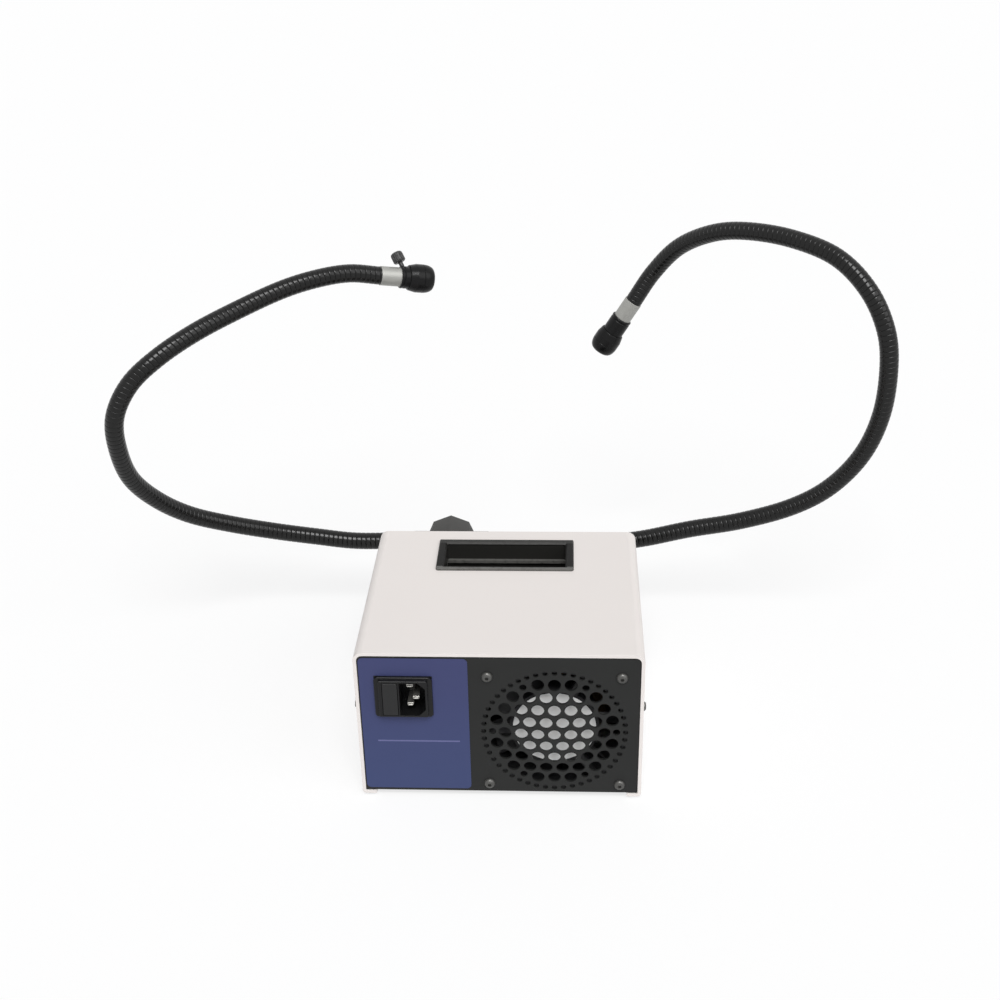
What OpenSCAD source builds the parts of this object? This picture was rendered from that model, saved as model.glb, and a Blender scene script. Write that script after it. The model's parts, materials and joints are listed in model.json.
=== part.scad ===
// Fibre optic illuminator: a halogen lamp box with a fan, a light port and
// two gooseneck light guides. The back panel faces -Y, the light port faces +Y.
// The origin lies on the bench, under the middle of the box.

/* [Box] */
// Width of the sheet metal cover
body_w = 178; // [176:1:184]
// Depth of the box from the back edge to the front edge of the cover
body_d = 150; // [148:1:160]
// Height of the cover
body_h = 108.5; // [108:0.5:116]
// Gap between the bench and the cover
foot_gap = 2; // [1:0.5:3]
// Thickness of the cover's sheet
cover_t = 2.2; // [1.6:0.1:2.4]
// Outer radius of the cover's two top bends
bend_r = 6; // [4:0.5:8]
// Thickness of the panels and of the base
panel_t = 1.6; // [1.2:0.1:1.8]

/* [Fan and grille] */
// Width of the square fan
fan_w = 92; // [92:1:92]
// Depth of the fan
fan_t = 25; // [25:1:28]
// Distance between the fan's screws
fan_pitch = 82.5; // [82.5:0.5:82.5]
// Place of the fan across the box
fan_x = 34; // [32:0.5:35]
// Height of the fan's centre above the bench
fan_z = 52.2; // [52:0.1:54]
// Distance between neighbouring large holes
hole_pitch = 10.25; // [10:0.05:10.4]
// Diameter of the large holes
hole_d = 8; // [7:0.1:8.4]
// Height of the grille's stamped dome
dome_h = 3.9; // [3:0.1:5]
// Number of small holes in the outer ring
ring_count = 48; // [36:1:52]
// Number of fan blades
blade_count = 7; // [5:1:9]

/* [Handle] */
// Width of the handle's bezel
handle_w = 92; // [80:1:100]
// Front to back size of the handle's bezel
handle_d = 39; // [36:1:42]
// Depth of the finger pocket
pocket_depth = 20; // [16:1:21]

/* [Light port] */
// Place of the light port across the box
port_x = -46; // [-47:0.5:-45]
// Height of the light port above the bench
port_z = 62; // [60:0.5:64]
// Diameter of the light guide's stem
stem_d = 15.9; // [15:0.1:16.5]
// Running clearance of the stem in the port, on the radius
stem_fit = 0.05; // [0.03:0.01:0.08]

/* [Goosenecks] */
// Outer diameter of the gooseneck hose
hose_d = 12.7; // [12:0.1:13]
// Number of flats round the hose
hose_sides = 16; // [12:2:16]

/* [Focusing tips] */
// Diameter of the bright ferrule at each tip
ferrule_d = 13.4; // [13.2:0.1:13.8]
// Outer diameter of the collar that is clamped on the ferrule
collar_d = 15.6; // [15.4:0.1:16.2]
// Outer diameter of the lens head
head_d = 20; // [19:0.5:22]
// Length of ferrule that shows behind the left collar
left_ferrule_seen = 14.5; // [13.5:0.5:15]
// Length of ferrule that shows behind the right collar
right_ferrule_seen = 15.5; // [13.5:0.5:17]
// How far the left lens head is pushed out
left_focus = 0; // [0:0.2:7.4]
// How far the right lens head is pushed out
right_focus = 7.4; // [0:0.2:7.4]

/* [Controls] */
// Place of the brightness knob and of the switch across the box
knob_x = 48; // [44:1:52]
// Height of the brightness knob above the bench
knob_z = 68; // [66:1:70]
// Diameter of the brightness knob
knob_d = 32; // [28:1:34]
// Height of the power switch above the bench
rocker_z = 28; // [27:1:30]

/* [Hidden] */
$fn = 64;

// Box planes
half_w = body_w / 2;
half_d = body_d / 2;
cover_bottom = foot_gap;
cover_top = foot_gap + body_h;
inner_x = half_w - cover_t;
inner_top = cover_top - cover_t;
flange_w = 9;
base_bottom = cover_bottom + cover_t;
base_top = base_bottom + panel_t;
side_gap = 0.2;
panel_x = inner_x - side_gap;
panel_bottom = base_bottom + 0.5;
panel_top = inner_top - side_gap;
panel_recess = 0.6;
panel_face = half_d - panel_recess;
panel_back = panel_face - panel_t;
side_flange = 12;
side_screw_z = 67;
side_screw_y = panel_back - 6;

foot_x = 66;
foot_y = 56;
foot_r = 7;
base_screw_x = half_w - 5.75;
base_screw_y = 30;

// Fan and grille
dome_r = 36;
lattice_r = 37.4;
row_pitch = hole_pitch * sqrt(3) / 2;
medium_d = 4.6;
medium_r = 38.6;
ring_hole_d = 3.4;
ring_r = 44.2;
fan_back = -panel_back;
fan_bore_r = 43.75;
motor_r = 28;
motor_y = fan_back + 3.3;
motor_t = 4;
rotor_y = motor_y + motor_t + 0.5;
rotor_l = 15;
hub_r = 26;
blade_tip_r = 42.6;
blade_t = 1.6;
blade_chord = 21;
blade_camber_r = 30;
blade_pitch = 38;
fan_shaft_r = 2;
strut_w = 5;
label_t = 0.2;
screw_r = 2;

// Mains inlet
inlet_x = -58.9;
inlet_z = 78.8;
inlet_w = 36;
inlet_h = 29.6;
inlet_lip = 2.2;
inlet_depth = 26;
inlet_rim = 1.2;
raised_w = 30.4;
raised_h = 27;
raised_t = 2.2;
mouth_y = -panel_face - inlet_lip - raised_t;
socket_x = inlet_x + 5.8;
socket_w = 16;
socket_h = 24.4;
socket_depth = 17;
drawer_x = inlet_x - 8;
drawer_w = 9.2;
drawer_h = 23.4;
drawer_l = 26;
drawer_gap = 0.3;
fuse_l = 20;
fuse_r = 2.6;

// Handle
handle_y = 41.5;
bezel_t = 2;
bezel_edge = 1.3;
bezel_w = 5.5;
near_rim_w = 3;
far_rim_w = 5.5;
pocket_wall = 1.5;
pocket_w = handle_w - 2 * bezel_w;
pocket_d = handle_d - near_rim_w - far_rim_w;
pocket_y = handle_y + (near_rim_w - far_rim_w) / 2;
rib_drop = 12.6;

// Power supply
core_x = 44;
core_w = 78;
core_d = 38;
core_h = 65;
core_y = 5;
core_z = base_top + panel_t;
leg_w = 26;
window_w = 13;
window_h = 39;
coil_d = 64;
board_t = 1.6;
board_y = 60;
pivot_r = 1.2;
rocker_tilt = 10;
rocker_r = 8.3;
rocker_y = panel_face - 2;

// Light port and lamp
lamp_rim_y = 16;
reflector_r = 25.4;
filter_y = 36;
nose_y = half_d + 20;
stem_inner_y = 58;
stem_outer_y = 118;
junction_y = 145;
junction_r = 18.5;
junction_half = 8;
sleeve_r = 7.6;
sleeve_end = 28;
port_screw_y = 86;

// Gooseneck routes, from the junction block's sleeve to the tip's ferrule
left_route = [[port_x - sleeve_end, 145, 62], [-91, 145, 62], [-120, 145, 62], [-148, 144, 66],
    [-180, 140, 73], [-210, 131, 84], [-235.5, 118, 99], [-253, 102, 120], [-263.5, 85, 146],
    [-264.5, 71, 176], [-260.5, 64, 203], [-248.5, 67, 225], [-230.5, 77, 240], [-208, 95, 251],
    [-181, 115, 260], [-154, 131, 268], [-131, 142, 272], [-110, 151, 272.5], [-90, 159, 268]];
right_route = [[port_x + sleeve_end, 145, 62], [-1, 145, 62], [35, 145, 61], [68, 145, 61],
    [98, 145, 65], [133, 144, 74], [170, 141, 83], [205, 135, 98], [230, 127, 119],
    [248, 118, 149], [257, 113, 182], [258, 111, 217], [254, 115, 244], [242, 127, 268],
    [222, 145, 285], [194, 167, 291], [165, 187, 290], [143, 203, 283], [122, 221, 267],
    [105, 232, 244], [91, 233, 221]];
left_bends = [0, 1, 5, 15, 18];
right_bends = [0, 1, 7, 17, 20];
left_screw_side = [-0.08, 0.65, 0.76];
right_screw_side = [0.22, 0.97, -0.09];
ball_r = 5.9;
cup_r = 6.45;
neck_l = 3.2;
rim_l = 1.15;
ring_step = 10;

// Focusing tips
ferrule_l = 27;
fibre_l = 12;
fibre_r = 3;
collar_l = 18.5;
head_l = 18;
head_lip = 2.4;
head_rear = 6.2;
nose_l = 7.4;
nose_drop = 3.6;
lens_t = 2.2;
lens_edge_r = 5.6;
clamp_z = 6.1;
clamp_r = 1.6;
clamp_tip_r = 0.5;
clamp_gap = 0.3;
screw_lean = 24;
left_head_at = left_ferrule_seen + head_rear + left_focus;
right_head_at = right_ferrule_seen + head_rear + right_focus;

// ---------- shared shapes ----------

// A box centred on x and y, standing on z = 0
module slab(x, y, z) {
    translate([-x / 2, -y / 2, 0])
        cube([x, y, z]);
}

// A rectangle with round corners, lying in XY and t thick
module round_slab(x, y, t, r) {
    slab(x - 2 * r, y, t);
    slab(x, y - 2 * r, t);
    for (sx = [-1, 1])
        for (sy = [-1, 1])
            translate([sx * (x / 2 - r), sy * (y / 2 - r), 0])
                cylinder(h = t, r = r);
}

// Cross-section of a plate w wide and t thick with its two upper edges rounded to e
module soft_section(w, t, e) {
    translate([-w / 2, 0])
        square([w, t - e]);
    translate([-w / 2 + e, 0])
        square([w - 2 * e, t]);
    for (sx = [-1, 1])
        translate([sx * (w / 2 - e), t - e])
            circle(r = e);
}

// A plate with round corners and rounded upper edges, lying in XY
module soft_plate(x, y, t, r, e) {
    intersection() {
        translate([0, y / 2, 0])
            rotate([90, 0, 0])
                linear_extrude(y)
                    soft_section(x, t, e);
        translate([-x / 2, 0, 0])
            rotate([90, 0, 90])
                linear_extrude(x)
                    soft_section(y, t, e);
        round_slab(x, y, t, r);
    }
}

// A rectangular funnel that opens by grow on every side over its height h
module funnel(x, y, h, grow) {
    intersection() {
        translate([0, y / 2 + grow, 0])
            rotate([90, 0, 0])
                linear_extrude(y + 2 * grow)
                    polygon([[-x / 2, 0], [x / 2, 0], [x / 2 + grow, h], [-x / 2 - grow, h]]);
        translate([-x / 2 - grow, 0, 0])
            rotate([90, 0, 90])
                linear_extrude(x + 2 * grow)
                    polygon([[-y / 2, 0], [y / 2, 0], [y / 2 + grow, h], [-y / 2 - grow, h]]);
    }
}

// Turns a shape drawn in XY with its height along Z so that its height runs along +Y
// and its own Y becomes height above the bench
module upright(y) {
    translate([0, y, 0])
        rotate([90, 0, 0])
            mirror([0, 0, 1])
                children();
}

// A panel outline between two heights, with round top corners, drawn for upright()
module panel_outline(t) {
    r = bend_r - cover_t - side_gap;
    h = panel_top - panel_bottom;
    translate([-panel_x, panel_bottom, 0])
        cube([2 * panel_x, h - r, t]);
    translate([-panel_x + r, panel_bottom, 0])
        cube([2 * (panel_x - r), h, t]);
    for (sx = [-1, 1])
        translate([sx * (panel_x - r), panel_top - r, 0])
            cylinder(h = t, r = r);
}

// Pan head screw pointing down -Z, its head standing on z = 0
module pan_screw(head_r, head_h, shank_r, shank_l) {
    difference() {
        rotate_extrude()
            polygon([[0, -shank_l], [shank_r, -shank_l], [shank_r, 0], [head_r, 0],
                [head_r, head_h * 0.45], [head_r * 0.75, head_h * 0.85], [0, head_h]]);
        translate([0, 0, head_h * 0.4])
            slab(head_r * 1.1, 0.7, head_h);
        translate([0, 0, head_h * 0.4])
            slab(0.7, head_r * 1.1, head_h);
    }
}

// ---------- box ----------

module cover() {
    wall_h = body_h - bend_r;
    lip_r = 2.5;
    color("#e9e6e1")
    difference() {
        translate([0, -half_d, 0])
            rotate([90, 0, 0])
                mirror([0, 0, 1])
                    difference() {
                        union() {
                            translate([-half_w, cover_bottom + lip_r, 0])
                                cube([body_w, wall_h - lip_r, body_d]);
                            translate([-half_w + lip_r, cover_bottom, 0])
                                cube([body_w - 2 * lip_r, wall_h, body_d]);
                            translate([-half_w + bend_r, cover_bottom, 0])
                                cube([body_w - 2 * bend_r, body_h, body_d]);
                            for (sx = [-1, 1]) {
                                translate([sx * (half_w - bend_r), cover_top - bend_r, 0])
                                    cylinder(h = body_d, r = bend_r);
                                translate([sx * (half_w - lip_r), cover_bottom + lip_r, 0])
                                    cylinder(h = body_d, r = lip_r);
                            }
                        }
                        cover_hollow();
                    }
        translate([0, pocket_y, inner_top - 1])
            slab(pocket_w + 2 * pocket_wall + 0.4, pocket_d + 2 * pocket_wall + 0.4, cover_t + 2);
        for (sx = [-1, 1])
            for (sy = [-1, 1])
                translate([sx * base_screw_x, sy * base_screw_y, cover_bottom - 1])
                    cylinder(h = cover_t + 2, r = screw_r - 0.1);
        for (sx = [-1, 1])
            for (sy = [-1, 1])
                translate([sx * (half_w + 1), sy * side_screw_y, side_screw_z])
                    rotate([0, -sx * 90, 0])
                        cylinder(h = cover_t + 3, r = screw_r - 0.1);
    }
}

module cover_hollow() {
    inner_r = bend_r - cover_t;
    translate([-inner_x, base_bottom, -1])
        cube([2 * inner_x, inner_top - base_bottom - inner_r, body_d + 2]);
    translate([-inner_x + inner_r, base_bottom, -1])
        cube([2 * (inner_x - inner_r), inner_top - base_bottom, body_d + 2]);
    for (sx = [-1, 1])
        translate([sx * (inner_x - inner_r), inner_top - inner_r, -1])
            cylinder(h = body_d + 2, r = inner_r);
    translate([-half_w + flange_w, cover_bottom - 1, -1])
        cube([body_w - 2 * flange_w, cover_t + 2, body_d + 2]);
}

module chassis_base() {
    lip_l = 2 * (panel_back - side_flange - 2);
    slot_l = 22;
    color("#2c2d2e")
    difference() {
        union() {
            translate([0, 0, base_bottom])
                slab(2 * panel_x, 2 * panel_back, panel_t);
            for (sx = [-1, 1])
                translate([sx * (panel_x - panel_t / 2), 0, base_bottom])
                    slab(panel_t, lip_l, 14);
        }
        for (sx = [-1, 1])
            for (sy = [-1, 1])
                translate([sx * foot_x, sy * foot_y, base_bottom - 1])
                    cylinder(h = panel_t + 2, r = screw_r);
        for (sx = [-1, 1])
            for (sy = [-1, 1])
                translate([sx * base_screw_x, sy * base_screw_y, base_bottom - 1])
                    cylinder(h = panel_t + 2, r = screw_r - 0.4);
        for (row = [0, 1])
            for (i = [0 : 8])
                translate([port_x - 24 + 6 * i, -35 + 27 * row, base_bottom - 1])
                    slab(2.6, slot_l, panel_t + 2);
    }
}

// One panel with two bent side flanges, facing -Y
module panel_blank() {
    upright(-panel_face)
        panel_outline(panel_t);
    for (sx = [-1, 1])
        translate([sx * (panel_x - panel_t / 2), -panel_back, panel_bottom + 12])
            translate([-panel_t / 2, 0, 0])
                cube([panel_t, side_flange, panel_top - panel_bottom - 24]);
}

module flange_holes() {
    for (sx = [-1, 1])
        translate([sx * (panel_x + 1), -side_screw_y, side_screw_z])
            rotate([0, -sx * 90, 0])
                cylinder(h = 6, r = screw_r - 0.35);
}

// Centres of the large holes: the points of a hexagonal lattice that lie on the dome
function lattice() = [for (row = [-4 : 4], i = [-4 : 4])
    let (p = [(i + abs(row) % 2 / 2) * hole_pitch, row * row_pitch])
    if (norm(p) < lattice_r) p];

module grille_holes() {
    for (p = lattice())
        translate([p[0], p[1], -dome_h - 4])
            cylinder(h = dome_h + 8, d = hole_d, $fn = 32);
    for (a = [0 : 60 : 359])
        rotate(a)
            translate([medium_r, 0, -dome_h - 4])
                cylinder(h = dome_h + 8, d = medium_d, $fn = 24);
    for (i = [0 : ring_count - 1])
        rotate(i * 360 / ring_count)
            translate([ring_r, 0, -dome_h - 4])
                cylinder(h = dome_h + 8, d = ring_hole_d, $fn = 24);
    for (sx = [-1, 1])
        for (sy = [-1, 1])
            translate([sx * fan_pitch / 2, sy * fan_pitch / 2, -2])
                cylinder(h = 6, r = screw_r + 0.1, $fn = 24);
}

// Sphere radius of a dome with this base radius and height
function dome_sphere(r, h) = (r * r + h * h) / (2 * h);

module rear_panel() {
    outer = dome_sphere(dome_r, dome_h);
    color("#303132")
    difference() {
        union() {
            difference() {
                panel_blank();
                translate([fan_x, -panel_face - 1, fan_z])
                    rotate([-90, 0, 0])
                        cylinder(h = panel_t + 2, r = dome_r - 1);
            }
            translate([fan_x, -panel_face, fan_z])
                rotate([-90, 0, 0])
                    intersection() {
                        translate([0, 0, outer - dome_h])
                            difference() {
                                sphere(r = outer);
                                sphere(r = outer - panel_t);
                            }
                        translate([0, 0, -dome_h - 1])
                            cylinder(h = dome_h + 1 + panel_t, r = dome_r);
                    }
        }
        translate([fan_x, -panel_face, fan_z])
            rotate([-90, 0, 0])
                grille_holes();
        translate([inlet_x, 0, inlet_z])
            rotate([90, 0, 0])
                translate([0, 0, panel_back - 1])
                    slab(inlet_w - 2 * inlet_rim, inlet_h - 2 * inlet_rim, panel_t + 2);
        flange_holes();
    }
}

module rear_label() {
    left = -86;
    right = -19;
    low = 6.5;
    high = 106.5;
    color("#3c4378")
    difference() {
        translate([(left + right) / 2, 0, (low + high) / 2])
            upright(-panel_face - label_t)
                round_slab(right - left, high - low, label_t, 3);
        translate([inlet_x, -panel_face + 1, inlet_z])
            rotate([90, 0, 0])
                slab(inlet_w, inlet_h, 3);
    }
}

module front_panel() {
    color("#303132")
    difference() {
        rotate([0, 0, 180])
            difference() {
                panel_blank();
                flange_holes();
            }
        translate([port_x, panel_back - 1, port_z])
            rotate([-90, 0, 0])
                cylinder(h = panel_t + 2, r = 12.2);
        translate([knob_x, panel_back - 1, knob_z])
            rotate([-90, 0, 0])
                cylinder(h = panel_t + 2, r = 3.7);
        translate([knob_x, panel_back - 1, rocker_z])
            rotate([-90, 0, 0])
                slab(19.4, 13, panel_t + 2);
        for (a = [90, 210, 330])
            translate([port_x + 18 * cos(a), panel_back - 1, port_z + 18 * sin(a)])
                rotate([-90, 0, 0])
                    cylinder(h = panel_t + 2, r = 1.3);
    }
}

module handle_tray() {
    mouth = 1.2;
    rib_h = 2;
    rib_out = 2.5;
    color("#252627")
    difference() {
        union() {
            translate([0, handle_y, cover_top])
                soft_plate(handle_w, handle_d, bezel_t, 2, bezel_edge);
            translate([0, pocket_y, cover_top - pocket_depth - pocket_wall])
                slab(pocket_w + 2 * pocket_wall, pocket_d + 2 * pocket_wall,
                    pocket_depth + pocket_wall);
        }
        translate([0, pocket_y, cover_top])
            difference() {
                translate([0, 0, -pocket_depth])
                    round_slab(pocket_w, pocket_d, pocket_depth + 2 * bezel_t, 2);
                translate([0, pocket_d / 2, -rib_drop])
                    slab(pocket_w + 1, 2 * rib_out, rib_h);
            }
        translate([0, pocket_y, cover_top + bezel_t - mouth])
            funnel(pocket_w, pocket_d, mouth + 0.1, mouth + 0.1);
    }
}

module cover_screws() {
    color("#8c8c8a")
    for (sx = [-1, 1])
        for (sy = [-1, 1])
            translate([sx * half_w, sy * side_screw_y, side_screw_z])
                rotate([0, sx * 90, 0])
                    pan_screw(2.9, 1.9, screw_r - 0.4, 7);
}

module base_screws() {
    color("#8c8c8a")
    for (sx = [-1, 1])
        for (sy = [-1, 1])
            translate([sx * base_screw_x, sy * base_screw_y, cover_bottom])
                rotate([180, 0, 0])
                    pan_screw(2.9, 1.4, screw_r - 0.4, 6);
}

module feet() {
    color("#1c1c1c")
    for (sx = [-1, 1])
        for (sy = [-1, 1])
            translate([sx * foot_x, sy * foot_y, 0])
                difference() {
                    rotate_extrude()
                        polygon([[0, 0], [foot_r - 1, 0], [foot_r, base_bottom], [0, base_bottom]]);
                    translate([0, 0, -1])
                        cylinder(h = 3, r = 3.6);
                    translate([0, 0, -1])
                        cylinder(h = 8, r = screw_r);
                }
}

module feet_screws() {
    color("#8c8c8a")
    for (sx = [-1, 1])
        for (sy = [-1, 1])
            translate([sx * foot_x, sy * foot_y, 2])
                rotate([180, 0, 0])
                    pan_screw(3.2, 1.5, screw_r - 0.3, 7);
}

// ---------- fan ----------

module at_fan(y) {
    translate([fan_x, y, fan_z])
        rotate([-90, 0, 0])
            children();
}

module fan_frame() {
    flange_t = 4;
    color("#1e1f20")
    at_fan(fan_back)
        difference() {
            union() {
                difference() {
                    union() {
                        round_slab(fan_w, fan_w, flange_t, 4);
                        translate([0, 0, fan_t - flange_t])
                            round_slab(fan_w, fan_w, flange_t, 4);
                        cylinder(h = fan_t, r = fan_w / 2 - 0.1);
                    }
                    translate([0, 0, -1])
                        cylinder(h = fan_t + 2, r = fan_bore_r);
                }
                for (a = [55, 175, 295])
                    rotate(a)
                        translate([motor_r - 2, -strut_w / 2, 3.3])
                            cube([fan_bore_r - motor_r + 2.5, strut_w, motor_t]);
                translate([0, 0, 3.3])
                    cylinder(h = motor_t, r = motor_r);
            }
            for (sx = [-1, 1])
                for (sy = [-1, 1])
                    translate([sx * fan_pitch / 2, sy * fan_pitch / 2, -1])
                        cylinder(h = fan_t + 2, r = screw_r - 0.1);
            translate([0, 0, 4.6])
                cylinder(h = motor_t, r = fan_shaft_r + 0.05);
        }
}

// Cross-section of a blade: a thin arc that leans from the direction of travel
module blade_section() {
    sag = sqrt(blade_camber_r * blade_camber_r - blade_chord * blade_chord / 4);
    rotate(blade_pitch)
        intersection() {
            translate([0, -sag - 1])
                difference() {
                    circle(r = blade_camber_r + blade_t / 2);
                    circle(r = blade_camber_r - blade_t / 2);
                }
            translate([-blade_chord / 2, -3])
                square([blade_chord, 8]);
        }
}

module fan_rotor() {
    color("#26272a")
    at_fan(rotor_y) {
        difference() {
            cylinder(h = rotor_l, r = hub_r);
            translate([0, 0, -1])
                cylinder(h = rotor_l - 1, r = hub_r - 2);
        }
        translate([0, 0, -2.4])
            cylinder(h = rotor_l + 2, r = fan_shaft_r);
        intersection() {
            difference() {
                cylinder(h = rotor_l, r = blade_tip_r);
                translate([0, 0, -1])
                    cylinder(h = rotor_l + 2, r = hub_r - 1);
            }
            for (i = [0 : blade_count - 1])
                rotate(i * 360 / blade_count)
                    translate([hub_r - 4, 0, rotor_l / 2])
                        rotate([90, 0, 90])
                            linear_extrude(blade_tip_r - hub_r + 6)
                                blade_section();
        }
    }
}

module motor_label() {
    color("#c9c9c6")
    at_fan(motor_y - label_t)
        cylinder(h = label_t, r = 26);
}

module fan_screws() {
    head_r = 3.6;
    head_h = 2.3;
    seat_r = screw_r - 0.1;
    color("#4a4a4a")
    for (sx = [-1, 1])
        for (sz = [-1, 1])
            translate([fan_x + sx * fan_pitch / 2, -panel_face, fan_z + sz * fan_pitch / 2])
                rotate([90, 0, 0])
                    difference() {
                        rotate_extrude()
                            polygon([[0, -12], [seat_r, -12], [seat_r, 0], [head_r, 0],
                                [head_r - 0.1, 0.7], [head_r - 0.5, 1.3], [head_r - 1.2, 1.9],
                                [head_r - 2.2, head_h], [0, head_h]]);
                        translate([0, 0, 0.8])
                            cylinder(h = 3, r = 1.25, $fn = 6);
                    }
}

// ---------- mains inlet ----------

// Outline of the mains socket: a rectangle with two corners cut off on the earth side
module socket_outline(w, h, depth) {
    cut = 4.5;
    linear_extrude(depth)
        polygon([[-w / 2, -h / 2], [w / 2 - cut, -h / 2], [w / 2, -h / 2 + cut],
            [w / 2, h / 2 - cut], [w / 2 - cut, h / 2], [-w / 2, h / 2]]);
}

// Places a shape on the back panel, its height pointing into the box
module into_box(x, y, z) {
    translate([x, y, z])
        rotate([-90, 0, 0])
            mirror([0, 1, 0])
                children();
}

// The three mains blades: [x, z, how far the tip stands back from the socket's mouth]
blade_w = 4;
blade_thick = 2;
function blades() = [[2, 0, 1.6], [-2, 7, 4.2], [-2, -7, 4.2]];

module inlet_housing() {
    edge = 0.8;
    color("#1d1e20")
    difference() {
        union() {
            translate([inlet_x, -panel_face, inlet_z])
                rotate([90, 0, 0]) {
                    soft_plate(inlet_w, inlet_h, inlet_lip, 3, edge);
                    soft_plate(raised_w, raised_h, inlet_lip + raised_t, 1.5, edge);
                }
            into_box(inlet_x, -panel_face, inlet_z)
                slab(inlet_w - 2 * inlet_rim - 0.2, inlet_h - 2 * inlet_rim - 0.2, inlet_depth);
        }
        into_box(socket_x, mouth_y - 1, inlet_z)
            socket_outline(socket_w, socket_h, socket_depth + 1);
        into_box(drawer_x, mouth_y - 1, inlet_z)
            slab(drawer_w + 2 * drawer_gap, drawer_h + 2 * drawer_gap, drawer_l + 1.5);
        into_box(socket_x, mouth_y + socket_depth - 1, inlet_z)
            for (b = blades())
                translate([b[0], b[1], 0])
                    slab(blade_w, blade_thick, inlet_depth);
    }
}

module inlet_pins() {
    tail = 8;
    color("#c8c4bb")
    into_box(socket_x, mouth_y, inlet_z)
        for (b = blades())
            translate([b[0], b[1], b[2]]) {
                pin_l = inlet_lip + raised_t + inlet_depth + tail - b[2];
                translate([0, 0, 1])
                    slab(blade_w, blade_thick, pin_l - 1);
                intersection() {
                    slab(blade_w, blade_thick, 1.1);
                    mirror([0, 0, 1])
                        translate([0, 0, -1.1])
                            funnel(blade_w + 0.2, blade_thick + 0.2, 1.1, -0.6);
                }
            }
}

module fuse_drawer() {
    face = mouth_y - 0.2;
    clip_w = 2 * fuse_r + 0.2;
    color("#232427")
    difference() {
        into_box(drawer_x, face, inlet_z)
            slab(drawer_w, drawer_h, drawer_l);
        for (sz = [-1, 1])
            into_box(drawer_x, face + 3, inlet_z + sz * 6)
                slab(clip_w, clip_w, drawer_l);
    }
}

module fuses() {
    color("#d8d8d0")
    for (sz = [-1, 1])
        into_box(drawer_x, mouth_y + 2.8, inlet_z + sz * 6)
            cylinder(h = fuse_l, r = fuse_r);
}

// ---------- power supply ----------

module transformer_core() {
    color("#5b5c60")
    translate([core_x, core_y, core_z])
        difference() {
            slab(core_w, core_d, core_h);
            for (sx = [-1, 1])
                translate([sx * (leg_w + window_w) / 2, 0, (core_h - window_h) / 2])
                    slab(window_w, core_d + 2, window_h);
        }
}

module transformer_coil() {
    color("#b5862f")
    translate([core_x, core_y, core_z + (core_h - window_h) / 2 + 0.2])
        difference() {
            rotate([0, 0, 90])
                round_slab(coil_d, leg_w + 2 * window_w - 0.4, window_h - 0.4, 8);
            translate([0, 0, -1])
                slab(leg_w + 0.2, core_d + 0.2, window_h + 2);
            for (sx = [-1, 1])
                translate([sx * (leg_w / 2 + window_w + 3), 0, -1])
                    slab(6.6, core_d + 0.2, window_h + 2);
        }
}

module transformer_bracket() {
    color("#9a9b9d")
    translate([core_x, core_y, base_top])
        for (sx = [-1, 1])
            translate([sx * core_w / 4, 0, 0])
                difference() {
                    slab(14, core_d + 22, panel_t);
                    for (sy = [-1, 1])
                        translate([0, sy * (core_d / 2 + 6), -1])
                            cylinder(h = 4, r = screw_r);
                }
}

module dimmer_board() {
    color("#2d6b3c")
    translate([knob_x, board_y, knob_z])
        rotate([90, 0, 0])
            translate([0, 0, -board_t])
                translate([-30, -24, 0])
                    cube([60, 44, board_t]);
    color("#3b3b3d")
    translate([knob_x - 18, board_y, knob_z - 8])
        rotate([90, 0, 0])
            cylinder(h = 12, r = 6);
    color("#a33a2a")
    translate([knob_x - 2, board_y - 8, knob_z - 18])
        slab(10, 16, 9);
}

module heat_sink() {
    color("#a9abad")
    translate([knob_x + 19, board_y, knob_z - 6])
        rotate([90, 0, 0]) {
            slab(20, 26, 3);
            for (i = [-2 : 2])
                translate([4 * i, 0, 0])
                    slab(1.4, 26, 14);
        }
}

module potentiometer() {
    color("#7d7f80")
    translate([knob_x, board_y + board_t, knob_z])
        rotate([-90, 0, 0])
            difference() {
                union() {
                    cylinder(h = panel_back - board_y - board_t, r = 8.5);
                    cylinder(h = panel_face + 5 - board_y - board_t, r = 3.6);
                    translate([0, 0, panel_face - board_y - board_t])
                        cylinder(h = 2, r = 5.5, $fn = 6);
                }
                translate([0, 0, 3])
                    cylinder(h = 30, r = 3.05);
            }
}

module pot_shaft() {
    color("#c9c9c9")
    translate([knob_x, board_y + board_t + 3.3, knob_z])
        rotate([-90, 0, 0])
            cylinder(h = panel_face + 16 - board_y - board_t - 3.3, r = 3);
}

module knob() {
    knob_y = panel_face + 5.6;
    knob_h = 15;
    flutes = 24;
    color("#222324")
    translate([knob_x, knob_y, knob_z])
        rotate([-90, 0, 0])
            difference() {
                rotate_extrude()
                    polygon([[0, 0], [knob_d / 2, 0], [knob_d / 2, 2.5], [knob_d / 2 - 2.5, 3.5],
                        [knob_d / 2 - 3.5, knob_h - 1], [knob_d / 2 - 4.5, knob_h], [0, knob_h]]);
                translate([0, 0, -1])
                    cylinder(h = panel_face + 16 - knob_y + 1, r = 3);
                for (i = [0 : flutes - 1])
                    rotate(i * 360 / flutes)
                        translate([knob_d / 2 - 2.2, 0, 4])
                            cylinder(h = knob_h, r = 0.9, $fn = 16);
                translate([-0.6, -knob_d / 2, knob_h - 0.8])
                    cube([1.2, knob_d / 2 - 3, 2]);
            }
}

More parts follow.
